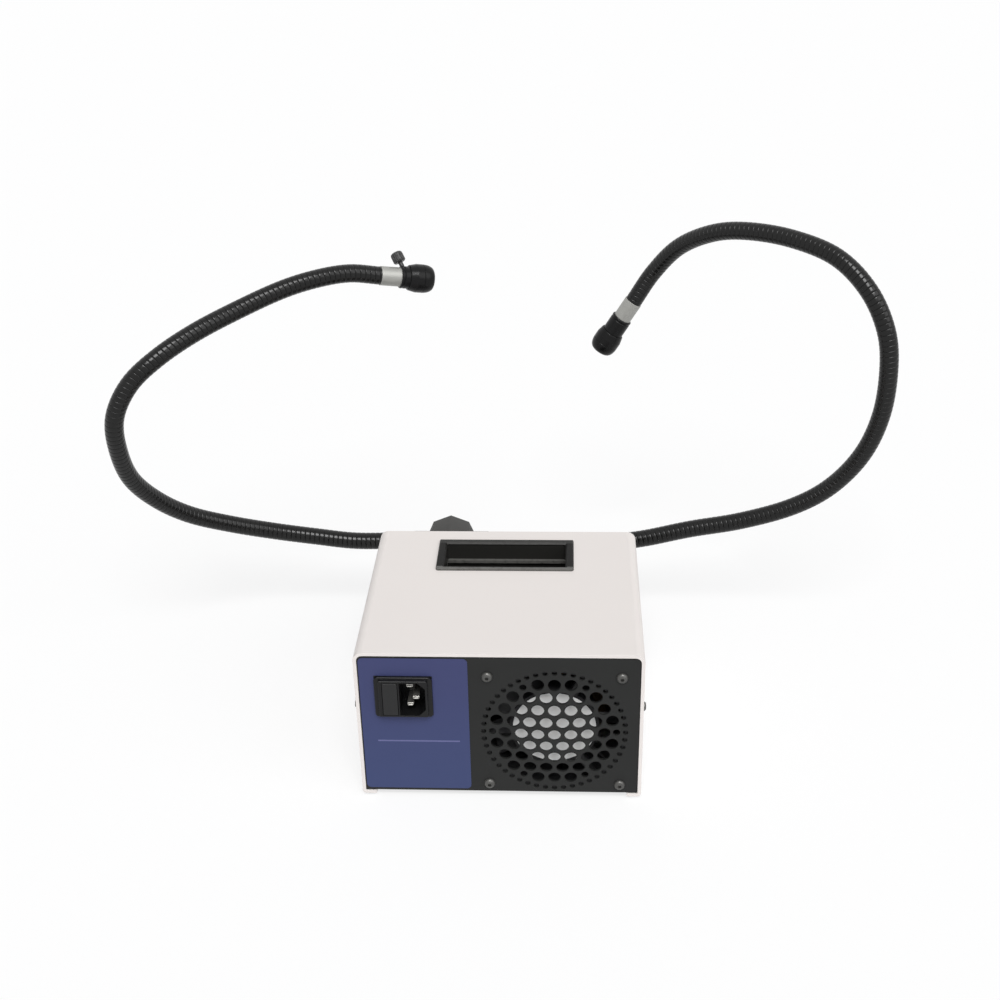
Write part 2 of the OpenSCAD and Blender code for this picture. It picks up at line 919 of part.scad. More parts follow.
module switch_housing() {
    color("#1f2022")
    translate([knob_x, panel_face, rocker_z])
        rotate([-90, 0, 0])
            difference() {
                union() {
                    slab(22, 15.4, 2);
                    translate([0, 0, -21])
                        slab(19.2, 12.8, 21.5);
                    for (sx = [-1, 1])
                        translate([5 * sx, 0, -28])
                            slab(0.8, 6.3, 8);
                }
                translate([0, 0, -11])
                    slab(2 * rocker_r + 0.6, 10.4, 14);
                translate([0, -8, rocker_y - panel_face])
                    rotate([-90, 0, 0])
                        cylinder(h = 16, r = pivot_r + 0.05);
            }
}

module rocker() {
    rocker_w = 9.8;
    pivot_l = 12.6;
    color("#17181a")
    translate([knob_x, rocker_y, rocker_z - rocker_w / 2])
        rotate(rocker_tilt)
            union() {
                linear_extrude(rocker_w)
                    intersection() {
                        circle(r = rocker_r);
                        polygon([[-9, -4], [9, -4], [9, 7.2], [0, 5.6], [-9, 7.2]]);
                    }
                translate([0, 0, (rocker_w - pivot_l) / 2])
                    cylinder(h = pivot_l, r = pivot_r);
            }
}

// ---------- lamp ----------

module lamp_bracket() {
    foot_l = filter_y + 4 - lamp_rim_y + 20;
    color("#b4b6b8")
    difference() {
        union() {
            translate([port_x, lamp_rim_y + 8, base_top])
                slab(56, foot_l, panel_t);
            translate([port_x, lamp_rim_y + panel_t / 2, base_top])
                slab(56, panel_t, port_z - base_top + 20);
            translate([port_x, filter_y + 3 + panel_t / 2, base_top])
                slab(50, panel_t, port_z - base_top + 18);
            for (a = [-60, 60, 180])
                translate([port_x, filter_y, port_z])
                    rotate([-90, 0, 0])
                        rotate(a)
                            translate([20.2, -3, 0])
                                cube([2, 6, 4]);
        }
        translate([port_x, lamp_rim_y - 1, port_z])
            rotate([-90, 0, 0])
                cylinder(h = 4, r = 23);
        translate([port_x, filter_y + 2, port_z])
            rotate([-90, 0, 0])
                cylinder(h = 5, r = 17);
    }
}

// Half outline of the reflector's bowl, from the neck to the rim: a parabola
bowl_depth = 24;
bowl_neck = 6.5;
function bowl(t) = [bowl_neck + (reflector_r - 1.6 - bowl_neck) * sqrt(t), bowl_depth * t];

module lamp_reflector() {
    steps = 8;
    inner = [for (i = [0 : steps]) bowl(i / steps)];
    outer = [for (i = [steps : -1 : 0]) [bowl(i / steps)[0] + 1.6, bowl(i / steps)[1] - 1.6 * (1 - i / steps)]];
    color("#cfd6da")
    translate([port_x, lamp_rim_y - bowl_depth, port_z])
        rotate([-90, 0, 0]) {
            rotate_extrude()
                polygon(concat(inner, outer));
            difference() {
                translate([0, 0, -11])
                    cylinder(h = 11, r = bowl_neck + 1.6);
                translate([0, 0, -12])
                    cylinder(h = 13, r = 5.1);
            }
        }
}

module lamp_capsule() {
    color("#dfe9ee")
    translate([port_x, lamp_rim_y - bowl_depth - 9, port_z])
        rotate([-90, 0, 0]) {
            translate([0, 0, 3])
                cylinder(h = 14, r = 5);
            translate([0, 0, 17])
                sphere(r = 5);
            translate([0, 0, 0])
                slab(8, 3.4, 4);
            for (sx = [-1, 1])
                translate([sx * 2.65, 0, -9])
                    cylinder(h = 10, r = 0.75, $fn = 24);
        }
}

module lamp_socket() {
    socket_l = 14;
    color("#e3ddd0")
    translate([port_x, lamp_rim_y - bowl_depth - 11, port_z])
        rotate([90, 0, 0])
            difference() {
                round_slab(24, 16, socket_l, 3);
                for (sx = [-1, 1])
                    translate([sx * 2.65, 0, -1])
                        cylinder(h = 10, r = 0.8, $fn = 24);
            }
}

module heat_filter() {
    color("#bfe0d8")
    translate([port_x, filter_y, port_z])
        rotate([-90, 0, 0])
            cylinder(h = 3, r = 20);
}

// ---------- light port ----------

module light_port() {
    flange_r = 22;
    nose_r = 14;
    color("#2b2c2e")
    translate([port_x, 0, port_z])
        rotate([-90, 0, 0])
            difference() {
                union() {
                    translate([0, 0, 62])
                        cylinder(h = panel_face - 61, r = 12);
                    translate([0, 0, panel_face])
                        cylinder(h = 3, r = flange_r);
                    translate([0, 0, panel_face + 2])
                        cylinder(h = nose_y - panel_face - 2, r = nose_r);
                }
                translate([0, 0, 61])
                    cylinder(h = nose_y - 60, r = stem_d / 2 + stem_fit);
                for (a = [90, 210, 330])
                    rotate(-a)
                        translate([18, 0, panel_face - 1])
                            cylinder(h = 6, r = 1.3);
                translate([0, 0, port_screw_y])
                    rotate([90, 0, 0])
                        cylinder(h = nose_r + 2, r = screw_r + 0.05);
            }
}

// A knurled thumbscrew pointing along -Z, with its knob above z = 0 and a cone at its tip
module thumbscrew(knob_r, knob_h, stem_r, tip_r, neck, reach) {
    flutes = 16;
    crown = 1.6;
    difference() {
        rotate_extrude()
            polygon([[0, -reach], [tip_r, -reach], [stem_r, stem_r - tip_r - reach],
                [stem_r, neck], [knob_r - 0.7, neck], [knob_r, neck + 0.7],
                [knob_r, neck + knob_h - crown], [knob_r - 0.5, neck + knob_h - 0.5],
                [knob_r - 1.4, neck + knob_h], [0, neck + knob_h]]);
        for (i = [0 : flutes - 1])
            rotate(i * 360 / flutes)
                translate([knob_r, 0, neck - 1])
                    cylinder(h = knob_h + 2, r = 0.45, $fn = 12);
    }
}

module port_screw() {
    color("#2b2c2e")
    translate([port_x, port_screw_y, port_z + 14])
        thumbscrew(6, 8, screw_r, 1.2, 3.5, 5);
}

// ---------- light guide ----------

module guide_stem() {
    color("#c4c6c8")
    translate([port_x, 0, port_z])
        rotate([-90, 0, 0])
            difference() {
                union() {
                    translate([0, 0, stem_inner_y])
                        cylinder(h = stem_outer_y - stem_inner_y, d = stem_d);
                    translate([0, 0, nose_y + 0.4])
                        cylinder(h = 4, r = 10.5);
                }
                translate([0, 0, stem_inner_y - 1])
                    cylinder(h = 13, r = 6);
            }
}

module input_fibres() {
    color("#f3efe2")
    translate([port_x, stem_inner_y, port_z])
        rotate([-90, 0, 0])
            cylinder(h = 12, r = 6);
}

module junction_block() {
    cone_r = 11;
    sides = 8;
    color("#4a4b4d")
    difference() {
        union() {
            translate([port_x, 0, port_z])
                rotate([-90, 180 / sides, 0]) {
                    translate([0, 0, stem_outer_y])
                        cylinder(h = junction_y - junction_half - stem_outer_y, r1 = cone_r,
                            r2 = junction_r, $fn = sides);
                    translate([0, 0, junction_y - junction_half])
                        cylinder(h = 2 * junction_half - 2, r = junction_r, $fn = sides);
                    translate([0, 0, junction_y + junction_half - 2])
                        cylinder(h = 2, r1 = junction_r, r2 = junction_r - 2, $fn = sides);
                }
            for (sx = [-1, 1])
                translate([port_x, junction_y, port_z])
                    rotate([0, sx * 90, 0])
                        translate([0, 0, junction_r - 4])
                            cylinder(h = sleeve_end - junction_r + 4, r = sleeve_r);
        }
        for (a = [135, -45])
            translate([port_x, junction_y + 2, port_z])
                rotate([0, 90 - a, 0])
                    translate([0, 0, junction_r - 5])
                        cylinder(h = 8, r = 1.6);
    }
}

module junction_screws() {
    color("#151515")
    for (a = [135, -45])
        translate([port_x, junction_y + 2, port_z])
            rotate([0, 90 - a, 0])
                translate([0, 0, junction_r - 5])
                    difference() {
                        cylinder(h = 3, r = 1.6);
                        translate([0, 0, 1.5])
                            cylinder(h = 3, r = 0.8, $fn = 6);
                    }
}

// ---------- goosenecks ----------

// Points of a route, and a point beyond each end that carries its direction on
function knot(route, i) =
    i < 0 ? 2 * route[0] - route[1]
    : i >= len(route) ? 2 * route[len(route) - 1] - route[len(route) - 2]
    : route[i];

// Place at t on a smooth curve through the route's points, with t counted in points
function on_route(route, t) =
    let (i = min(floor(t), len(route) - 2), s = t - i,
        a = knot(route, i - 1), b = knot(route, i), c = knot(route, i + 1), d = knot(route, i + 2))
    (2 * b + (c - a) * s + (2 * a - 5 * b + 4 * c - d) * s * s
        + (3 * b - a - 3 * c + d) * s * s * s) / 2;

// Direction of the curve at t
function heading(route, t) =
    let (e = 0.001, last = len(route) - 1,
        d = on_route(route, min(t + e, last)) - on_route(route, max(t - e, 0)))
    d / norm(d);

// Corners of a ring of radius r, at a distance ahead of the point at t and square to the curve
function ring(route, t, r, ahead = 0) =
    let (d = heading(route, t), p = on_route(route, t) + ahead * d,
        n = cross(d, [0, 1, 0]), u = n / norm(n), v = cross(d, u))
    [for (k = [0 : hose_sides - 1])
        let (a = 360 * k / hose_sides)
        p + r * (cos(a) * u + sin(a) * v)];

// Rings of the cup that a stretch of hose starts with, from its middle to its rim
function cup_rings(route, t) =
    [for (a = [15 : 16 : 63]) ring(route, t, cup_r * sin(a), cup_r * cos(a))];

// Rings of the ball that a stretch of hose ends with, from its neck to its crown
function ball_rings(route, t) =
    [for (a = [-30 : 20 : 70]) ring(route, t, ball_r * cos(a), ball_r * sin(a))];

// One stretch of gooseneck between two bends of an arm
module hose(route, bends, i) {
    from = bends[i];
    to = bends[i + 1];
    has_cup = i > 0;
    has_ball = i < len(bends) - 2;
    chord = norm(on_route(route, to) - on_route(route, from));
    steps = max(2, ceil(chord * 1.15 / ring_step));
    tube = concat(
        [ring(route, from, hose_d / 2, has_cup ? rim_l : 0)],
        [for (j = [1 : steps - 1]) ring(route, from + (to - from) * j / steps, hose_d / 2)],
        [ring(route, to, hose_d / 2, has_ball ? -neck_l : 0)]);
    rings = concat(has_cup ? cup_rings(route, from) : [], tube,
        has_ball ? ball_rings(route, to) : []);
    m = hose_sides;
    last = len(rings) - 1;
    sides = [for (j = [0 : last - 1], k = [0 : m - 1])
        let (a = j * m + k, b = j * m + (k + 1) % m)
        each [[a, a + m, b], [a + m, b + m, b]]];
    color("#1b1c1d")
        polyhedron([for (r = rings) each r],
            concat([[for (k = [0 : m - 1]) k]], sides, [[for (k = [m - 1 : -1 : 0]) last * m + k]]),
            convexity = 6);
}

// Places a shape ahead of a route's end, its height along the hose's direction there and
// its +X towards the clamping screw's side
module at_tip(route, side, ahead) {
    last = len(route) - 1;
    d = heading(route, last);
    s0 = side - (side * d) * d;
    s = s0 / norm(s0);
    w = cross(d, s);
    p = on_route(route, last) + ahead * d;
    multmatrix([[s[0], w[0], d[0], p[0]], [s[1], w[1], d[1], p[1]], [s[2], w[2], d[2], p[2]]])
        children();
}

module ferrule() {
    color("#c9c8c2")
    difference() {
        cylinder(h = ferrule_l, d = ferrule_d);
        translate([0, 0, ferrule_l - fibre_l])
            cylinder(h = fibre_l + 1, r = fibre_r);
    }
}

module fibres() {
    color("#f3efe2")
    translate([0, 0, ferrule_l - fibre_l])
        cylinder(h = fibre_l, r = fibre_r);
}

// Leans a shape from the tip's axis back towards the hose, out through the collar's wall
module at_clamp_screw() {
    translate([0, 0, clamp_z])
        rotate([0, 90 + screw_lean, 0])
            children();
}

module collar() {
    r = collar_d / 2;
    inner = ferrule_d / 2;
    rim = 1.5;
    groove = 0.6;
    color("#1c1c1e")
    difference() {
        rotate_extrude()
            polygon([[inner, 0], [r - 0.5, 0], [r, 0.5], [r, rim], [r - groove, rim + 0.5],
                [r - groove, rim + 0.9], [r, rim + 1.4], [r, collar_l - 0.6],
                [r - 0.6, collar_l], [inner, collar_l]]);
        at_clamp_screw()
            cylinder(h = collar_d, r = clamp_r + 0.05);
    }
}

module lens_head() {
    r = head_d / 2;
    bore = collar_d / 2 + 0.05;
    seat = head_l - head_lip;
    nose_z = head_l - nose_l - 0.1;
    nose = [for (a = [0 : 13 : 78]) [r - nose_drop * (1 - cos(a)), nose_z + nose_l * sin(a)]];
    joint_z = 9.6;
    color("#1c1c1e")
    rotate_extrude()
        polygon(concat([[bore, 0], [bore + 0.6, 0], [bore + 1, 0.4], [r - 0.3, 4.2], [r, 5.4],
            [r, joint_z], [r - 0.3, joint_z + 0.2], [r - 0.3, joint_z + 0.4], [r, joint_z + 0.6]],
            nose, [[lens_edge_r + 0.8, head_l], [lens_edge_r, head_l - 0.6],
            [lens_edge_r, seat], [bore, seat]]));
}

module lens() {
    crown = 1.4;
    color("#dfeaf2")
    translate([0, 0, head_l - head_lip - lens_t]) {
        cylinder(h = lens_t, r = collar_d / 2 + 0.05);
        translate([0, 0, lens_t])
            intersection() {
                cylinder(h = crown, r = lens_edge_r);
                translate([0, 0, crown - dome_sphere(lens_edge_r, crown)])
                    sphere(r = dome_sphere(lens_edge_r, crown));
            }
    }
}

module clamp_screw() {
    surface = collar_d / 2 / cos(screw_lean);
    tip = (ferrule_d / 2 + clamp_gap + clamp_tip_r * sin(screw_lean)) / cos(screw_lean);
    color("#2b2b2d")
    at_clamp_screw()
        translate([0, 0, surface])
            thumbscrew(4.4, 7.4, clamp_r, clamp_tip_r, 3.8, surface - tip);
}

module left_tip(ahead) {
    at_tip(left_route, left_screw_side, ahead)
        children();
}

module right_tip(ahead) {
    at_tip(right_route, right_screw_side, ahead)
        children();
}

module left_hose_1() { hose(left_route, left_bends, 0); }
module left_hose_2() { hose(left_route, left_bends, 1); }
module left_hose_3() { hose(left_route, left_bends, 2); }
module left_hose_4() { hose(left_route, left_bends, 3); }
module right_hose_1() { hose(right_route, right_bends, 0); }
module right_hose_2() { hose(right_route, right_bends, 1); }
module right_hose_3() { hose(right_route, right_bends, 2); }
module right_hose_4() { hose(right_route, right_bends, 3); }
module left_ferrule() { left_tip(0) ferrule(); }
module left_fibres() { left_tip(0) fibres(); }
module left_collar() { left_tip(left_ferrule_seen) collar(); }
module left_head() { left_tip(left_head_at) lens_head(); }
module left_lens() { left_tip(left_head_at) lens(); }
module left_screw() { left_tip(left_ferrule_seen) clamp_screw(); }
module right_ferrule() { right_tip(0) ferrule(); }
module right_fibres() { right_tip(0) fibres(); }
module right_collar() { right_tip(right_ferrule_seen) collar(); }
module right_head() { right_tip(right_head_at) lens_head(); }
module right_lens() { right_tip(right_head_at) lens(); }
module right_screw() { right_tip(right_ferrule_seen) clamp_screw(); }

cover();
chassis_base();
rear_panel();
rear_label();
front_panel();
handle_tray();
cover_screws();
base_screws();
feet();
feet_screws();
fan_frame();
fan_rotor();
motor_label();
fan_screws();
inlet_housing();
inlet_pins();
fuse_drawer();
fuses();
transformer_core();
transformer_coil();
transformer_bracket();
dimmer_board();
heat_sink();
potentiometer();
pot_shaft();
knob();
switch_housing();
rocker();
lamp_bracket();
lamp_reflector();
lamp_capsule();
lamp_socket();
heat_filter();
light_port();
port_screw();
guide_stem();
input_fibres();
junction_block();
junction_screws();
left_hose_1();
left_hose_2();
left_hose_3();
left_hose_4();
left_ferrule();
left_fibres();
left_collar();
left_head();
left_lens();
left_screw();
right_hose_1();
right_hose_2();
right_hose_3();
right_hose_4();
right_ferrule();
right_fibres();
right_collar();
right_head();
right_lens();
right_screw();
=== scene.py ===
"""Looks of a fibre optic illuminator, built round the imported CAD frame.

A bench lamp box stands at the origin with its back panel towards the camera, and two
gooseneck light guides rise from the junction block behind it. All sizes are in metres.
"""

import json
import logging
import math
from collections.abc import Sequence
from dataclasses import dataclass, replace
from enum import Enum

import bpy
from bpy.types import Material, Object
from mathutils import Matrix, Vector

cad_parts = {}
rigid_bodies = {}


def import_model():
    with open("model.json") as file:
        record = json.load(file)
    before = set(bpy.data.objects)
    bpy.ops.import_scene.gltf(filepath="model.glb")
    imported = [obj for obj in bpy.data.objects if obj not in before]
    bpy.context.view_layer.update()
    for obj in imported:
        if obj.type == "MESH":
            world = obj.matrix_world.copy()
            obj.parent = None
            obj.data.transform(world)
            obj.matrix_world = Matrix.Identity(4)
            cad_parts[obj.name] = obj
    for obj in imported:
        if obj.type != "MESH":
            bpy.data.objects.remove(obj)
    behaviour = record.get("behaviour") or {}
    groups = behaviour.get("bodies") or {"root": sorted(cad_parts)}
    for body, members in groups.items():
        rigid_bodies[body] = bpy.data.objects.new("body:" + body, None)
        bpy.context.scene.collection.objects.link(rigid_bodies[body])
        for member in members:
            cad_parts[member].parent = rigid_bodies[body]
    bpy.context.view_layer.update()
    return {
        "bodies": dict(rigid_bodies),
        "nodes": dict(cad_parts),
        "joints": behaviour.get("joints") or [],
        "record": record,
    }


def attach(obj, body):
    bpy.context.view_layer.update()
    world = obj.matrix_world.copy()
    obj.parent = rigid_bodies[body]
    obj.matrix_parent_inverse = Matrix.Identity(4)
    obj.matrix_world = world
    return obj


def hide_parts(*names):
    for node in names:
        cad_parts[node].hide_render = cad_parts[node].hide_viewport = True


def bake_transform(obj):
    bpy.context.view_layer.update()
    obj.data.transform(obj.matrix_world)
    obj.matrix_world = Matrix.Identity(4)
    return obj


LOG = logging.getLogger("illuminator")
Colour = tuple[float, float, float]
Place = tuple[float, float, float]
MM = 0.001
Y_AXIS: Place = (0.0, 1.0, 0.0)
Z_AXIS: Place = (0.0, 0.0, 1.0)
SHARP = 32.0  # edges sharper than this many degrees are rounded
FINE = 3  # faces across a rounding that is seen close by, where others have two
SCREW_EDGE = 0.15 * MM  # rounding of every screw's edges


# ---------------------------------------------------------------- shader maths


class Wire:
    """A value, colour or vector that leaves a node, and takes part in Python expressions."""

    def __init__(self, nodes: "Nodes", socket: bpy.types.NodeSocket) -> None:
        """Keeps the socket and the nodes it belongs to."""
        self.nodes = nodes
        self.socket = socket

    def __add__(self, other: "Wire | float") -> "Wire":
        """Adds a value."""
        return self.nodes.maths("ADD", self, other)

    def __sub__(self, other: "Wire | float") -> "Wire":
        """Takes a value away."""
        return self.nodes.maths("SUBTRACT", self, other)

    def __rsub__(self, other: "Wire | float") -> "Wire":
        """Is taken away from a value."""
        return self.nodes.maths("SUBTRACT", other, self)

    def __mul__(self, other: "Wire | float") -> "Wire":
        """Multiplies by a value."""
        return self.nodes.maths("MULTIPLY", self, other)

    def __truediv__(self, other: "Wire | float") -> "Wire":
        """Divides by a value."""
        return self.nodes.maths("DIVIDE", self, other)

    __radd__ = __add__
    __rmul__ = __mul__


class Speckle(Enum):
    """Kinds of noise: the number of octaves, and how strongly each finer one shows."""

    PLAIN = (2.0, 0.5)
    GRAIN = (2.0, 0.55)
    SCRATCH = (3.0, 0.6)
    CLOUD = (4.0, 0.6)
    SMEAR = (4.0, 0.65)
    SKIN = (5.0, 0.65)
    GREASE = (5.0, 0.7)
    SCUFF = (6.0, 0.75)


class Nodes:
    """A node tree, and the few calls that build it."""

    def __init__(self, tree: bpy.types.NodeTree) -> None:
        """Keeps the tree."""
        self.tree = tree

    def node(self, kind: str, settings: dict | None = None, inputs: dict | None = None,
             out: int | str = 0) -> Wire:
        """Adds any node.

        Args:
            kind: the node's type, without its ShaderNode prefix.
            settings: properties of the node, set before its sockets.
            inputs: values or wires by the socket's name or number.
            out: the output that is used.

        Returns:
            The wire that leaves the node.
        """
        made = self.tree.nodes.new("ShaderNode" + kind)
        for key, value in (settings or {}).items():
            setattr(made, key, value)
        self.feed(made, inputs or {})
        return Wire(self, made.outputs[out])

    def feed(self, node: bpy.types.Node, inputs: dict) -> None:
        """Sets or links a node's sockets.

        Args:
            node: the node.
            inputs: values or wires by the socket's name or number.
        """
        for key, value in inputs.items():
            if isinstance(value, Wire):
                self.tree.links.new(value.socket, node.inputs[key])
            else:
                node.inputs[key].default_value = value

    def named(self, name: str) -> Wire:
        """Gives what leaves a node that the tree already has."""
        return Wire(self, self.tree.nodes[name].outputs[0])

    def maths(self, operation: str, *values: "Wire | float") -> Wire:
        """Adds a Math node on its values."""
        return self.node("Math", {"operation": operation}, dict(enumerate(values)))

    def clamp(self, value: Wire, low: float, high: float) -> Wire:
        """Maps low..high of a value to a smooth 0..1."""
        return self.node("MapRange", {"interpolation_type": "SMOOTHSTEP"},
                         {"Value": value, "From Min": low, "From Max": high})

    def blend(self, one: "Wire | Colour", two: "Wire | Colour", factor: "Wire | float") -> Wire:
        """Mixes two colours.

        Args:
            one: the colour at factor 0.
            two: the colour at factor 1.
            factor: the share of the second.

        Returns:
            The mixed colour.
        """
        def opaque(colour: "Wire | Colour") -> "Wire | tuple":
            """Gives a plain colour its alpha."""
            return colour if isinstance(colour, Wire) else (*colour, 1.0)
        return self.node("Mix", {"data_type": "RGBA"}, {0: factor, 6: opaque(one), 7: opaque(two)}, 2)

    def place(self) -> Wire:
        """Gives the point's place in the object's own coordinates."""
        return self.node("TexCoord", out="Object")

    def parts(self, vector: Wire) -> tuple[Wire, Wire, Wire]:
        """Takes a vector apart into x, y and z."""
        apart = self.node("SeparateXYZ", inputs={0: vector}).socket.node
        return tuple(Wire(self, socket) for socket in apart.outputs)

    def turned(self, at: Place, axis: Place) -> Wire:
        """Gives the place seen from a point on an axis, with that axis as z.

        Args:
            at: a point on the axis.
            axis: the axis's direction.

        Returns:
            The place in those coordinates.
        """
        turn = Vector(axis).to_track_quat("Z", "Y").inverted().to_matrix()
        shift = -(turn @ Vector(at))
        return self.node("Mapping", {"vector_type": "POINT"}, {
            "Vector": self.place(), "Location": shift, "Rotation": turn.to_euler()})

    def noise(self, vector: Wire, size: float, kind: Speckle = Speckle.PLAIN) -> Wire:
        """Adds soft noise.

        Args:
            vector: the point's place.
            size: how large its features are, in metres.
            kind: how fine and rough it is.

        Returns:
            The noise, 0 to 1.
        """
        octaves, strength = kind.value
        return self.node("TexNoise", {"noise_dimensions": "3D"}, {
            "Vector": vector, "Scale": 1.0 / size, "Detail": octaves, "Roughness": strength})

    def stretched(self, vector: Wire, sizes: Place) -> Wire:
        """Scales a place so that noise on it gets features of these sizes along x, y and z."""
        return self.node("Mapping", {"vector_type": "POINT"}, {
            "Vector": vector, "Scale": tuple(1.0 / s for s in sizes)})


class Paint(Nodes):
    """One material's nodes, which end in a plain shader."""

    def __init__(self, name: str) -> None:
        """Starts the material.

        Args:
            name: the material's name.
        """
        self.material = bpy.data.materials.new(name)
        self.material.use_nodes = True
        super().__init__(self.material.node_tree)
        self.shader = self.tree.nodes["Principled BSDF"]

    def dress(self, varying: dict, fixed: dict, height: Wire | None = None,
              depth: float = 0.0) -> Material:
        """Finishes the material.

        Args:
            varying: wires for the shader's sockets.
            fixed: plain values for the shader's sockets.
            height: the relief, 0 to 1.
            depth: how deep the relief is, in metres.

        Returns:
            The material.
        """
        if height is not None:
            varying = {**varying, "Normal": self.node("Bump", inputs={
                "Height": height, "Distance": depth, "Strength": 1.0})}
        self.feed(self.shader, {**fixed, **varying})
        return self.material


# ---------------------------------------------------------------- finishes


@dataclass(frozen=True)
class Finish:
    """What every finish has."""

    name: str
    colour: Colour
    roughness: float = 0.5
    specular: float = 0.5
    metallic: float = 0.0
    relief: float = 0.0

    def fixed(self) -> dict:
        """Gives the values that are the same all over."""
        return {"Specular IOR Level": self.specular, "Metallic": self.metallic}

    def surface(self, paint: Paint) -> tuple[Wire, Wire, Wire]:
        """Works out what changes from place to place.

        Args:
            paint: the material's nodes.

        Returns:
            The colour, the roughness and the relief.
        """
        raise NotImplementedError

    def shade(self, factor: float, lift: float = 0.0) -> Colour:
        """Gives a lighter or darker shade of the finish's colour."""
        return tuple(min(1.0, c * factor + lift) for c in self.colour)

    def material(self) -> Material:
        """Builds the material."""
        paint = Paint(self.name)
        colour, rough, height = self.surface(paint)
        return paint.dress({"Base Color": colour, "Roughness": rough}, self.fixed(), height, self.relief)


@dataclass(frozen=True)
class Grained(Finish):
    """Paint or moulded plastic: fine grain, cloudy tone and a few dull scuffs."""

    grain: float = 0.5 * MM
    relief: float = 0.02 * MM
    mottle: float = 0.06
    cloud: float = 22 * MM
    dust: float = 0.0
    dust_colour: Colour = (0.35, 0.34, 0.32)
    clearcoat: float = 0.0
    coat_roughness: float = 0.08
    clouding: float = 0.5

    def tone(self, paint: Paint, place: Wire) -> "Wire | Colour":
        """Gives the colour that lies under the clouds and the dust.

        Args:
            paint: the material's nodes; not used here.
            place: the point's place; not used here.

        Returns:
            The plain colour, which some finishes vary from place to place.
        """
        return self.colour

    def fixed(self) -> dict:
        """Adds the coat."""
        return super().fixed() | {"Coat Weight": self.clearcoat, "Coat Roughness": self.coat_roughness}

    def surface(self, paint: Paint) -> tuple[Wire, Wire, Wire]:
        """Gives cloudy colour and roughness, and fine grain."""
        place = paint.place()
        cloud = paint.noise(place, self.cloud, Speckle.CLOUD)
        grain = paint.noise(place, self.grain, Speckle.GRAIN)
        scuff = paint.clamp(paint.noise(place, self.cloud * 0.35, Speckle.SCUFF), 0.58, 0.72)
        patches = paint.blend(self.shade(1 - self.mottle), self.shade(1 + self.mottle, 0.004), cloud)
        colour = paint.blend(self.tone(paint, place), patches, self.clouding)
        if self.dust:
            colour = paint.blend(colour, self.dust_colour, scuff * self.dust)
        return colour, cloud * 0.12 + scuff * 0.1 + (self.roughness - 0.06), grain + scuff * 0.3


@dataclass(frozen=True)
class Film(Grained):
    """Printed film: its blue turns more violet towards the top, with one pale rule across it."""

    upper: Colour = (0.045, 0.045, 0.128)
    bottom_z: float = 6.5 * MM
    top_z: float = 106.5 * MM
    rule_z: float = 44.1 * MM
    rule_from: float = -76.8 * MM
    rule_to: float = -25.2 * MM
    rule_colour: Colour = (0.2, 0.2, 0.4)
    rule_half: float = 0.55 * MM

    def tone(self, paint: Paint, place: Wire) -> Wire:
        """Gives the printed colours."""
        x, _, z = paint.parts(place)
        ground = paint.blend(self.colour, self.upper, paint.clamp(z, self.bottom_z, self.top_z))
        near = paint.maths("LESS_THAN", paint.maths("ABSOLUTE", z - self.rule_z), self.rule_half)
        along = paint.maths("GREATER_THAN", x, self.rule_from)
        short = paint.maths("LESS_THAN", x, self.rule_to)
        return paint.blend(ground, self.rule_colour, near * along * short)


@dataclass(frozen=True)
class HandleWithPaintedLight(Grained):
    """The handle's plastic, with painted highlights on its rims and finger rib, and paler in the pocket
    from dust and painted light.
    """

    rim_y: float = 24.7 * MM
    # painted highlights: the near rim, the far rim and the finger rib are coloured paler where the light
    # catches them
    rim_highlight_colour: Colour = (0.15, 0.148, 0.14)
    far_y: float = 55.6 * MM
    far_rim_highlight: float = 0.24
    rib_low: float = 97.8 * MM
    rib_high: float = 100.0 * MM
    rib_y: float = 55.45 * MM
    rib_highlight_colour: Colour = (0.13, 0.128, 0.12)
    mouth_z: float = 110.6 * MM
    # paler inside the pocket: partly dust, partly painted light that lifts the pocket's shade
    pocket_dust_and_light: Colour = (0.024, 0.0235, 0.0215)
    patch: float = 3 * MM

    def tone(self, paint: Paint, place: Wire) -> Wire:
        """Gives the plastic's own colour, the pocket made paler with dust and painted light, and painted
        highlights on the rims and rib.
        """
        _, y, z = paint.parts(place)
        patchy = paint.clamp(paint.noise(place, self.patch, Speckle.CLOUD), 0.2, 0.6)
        far = paint.maths("GREATER_THAN", y, self.far_y) * paint.maths("GREATER_THAN", z, self.mouth_z)
        # masks for the painted highlights on the near rim, the far rim and the rib
        rim = paint.maths("LESS_THAN", y, self.rim_y) + far * self.far_rim_highlight
        rib = (paint.maths("GREATER_THAN", z, self.rib_low) * paint.maths("LESS_THAN", z, self.rib_high)
               * paint.maths("LESS_THAN", y, self.rib_y))
        # the pocket below the mouth is coloured paler: dust plus painted light
        inside = paint.blend(self.colour, self.pocket_dust_and_light, paint.maths("LESS_THAN", z, self.mouth_z))
        with_lit_rib = paint.blend(inside, self.rib_highlight_colour, rib * (patchy * 0.5 + 0.5))
        return paint.blend(with_lit_rib, self.rim_highlight_colour, rim * (patchy * 0.4 + 0.6))


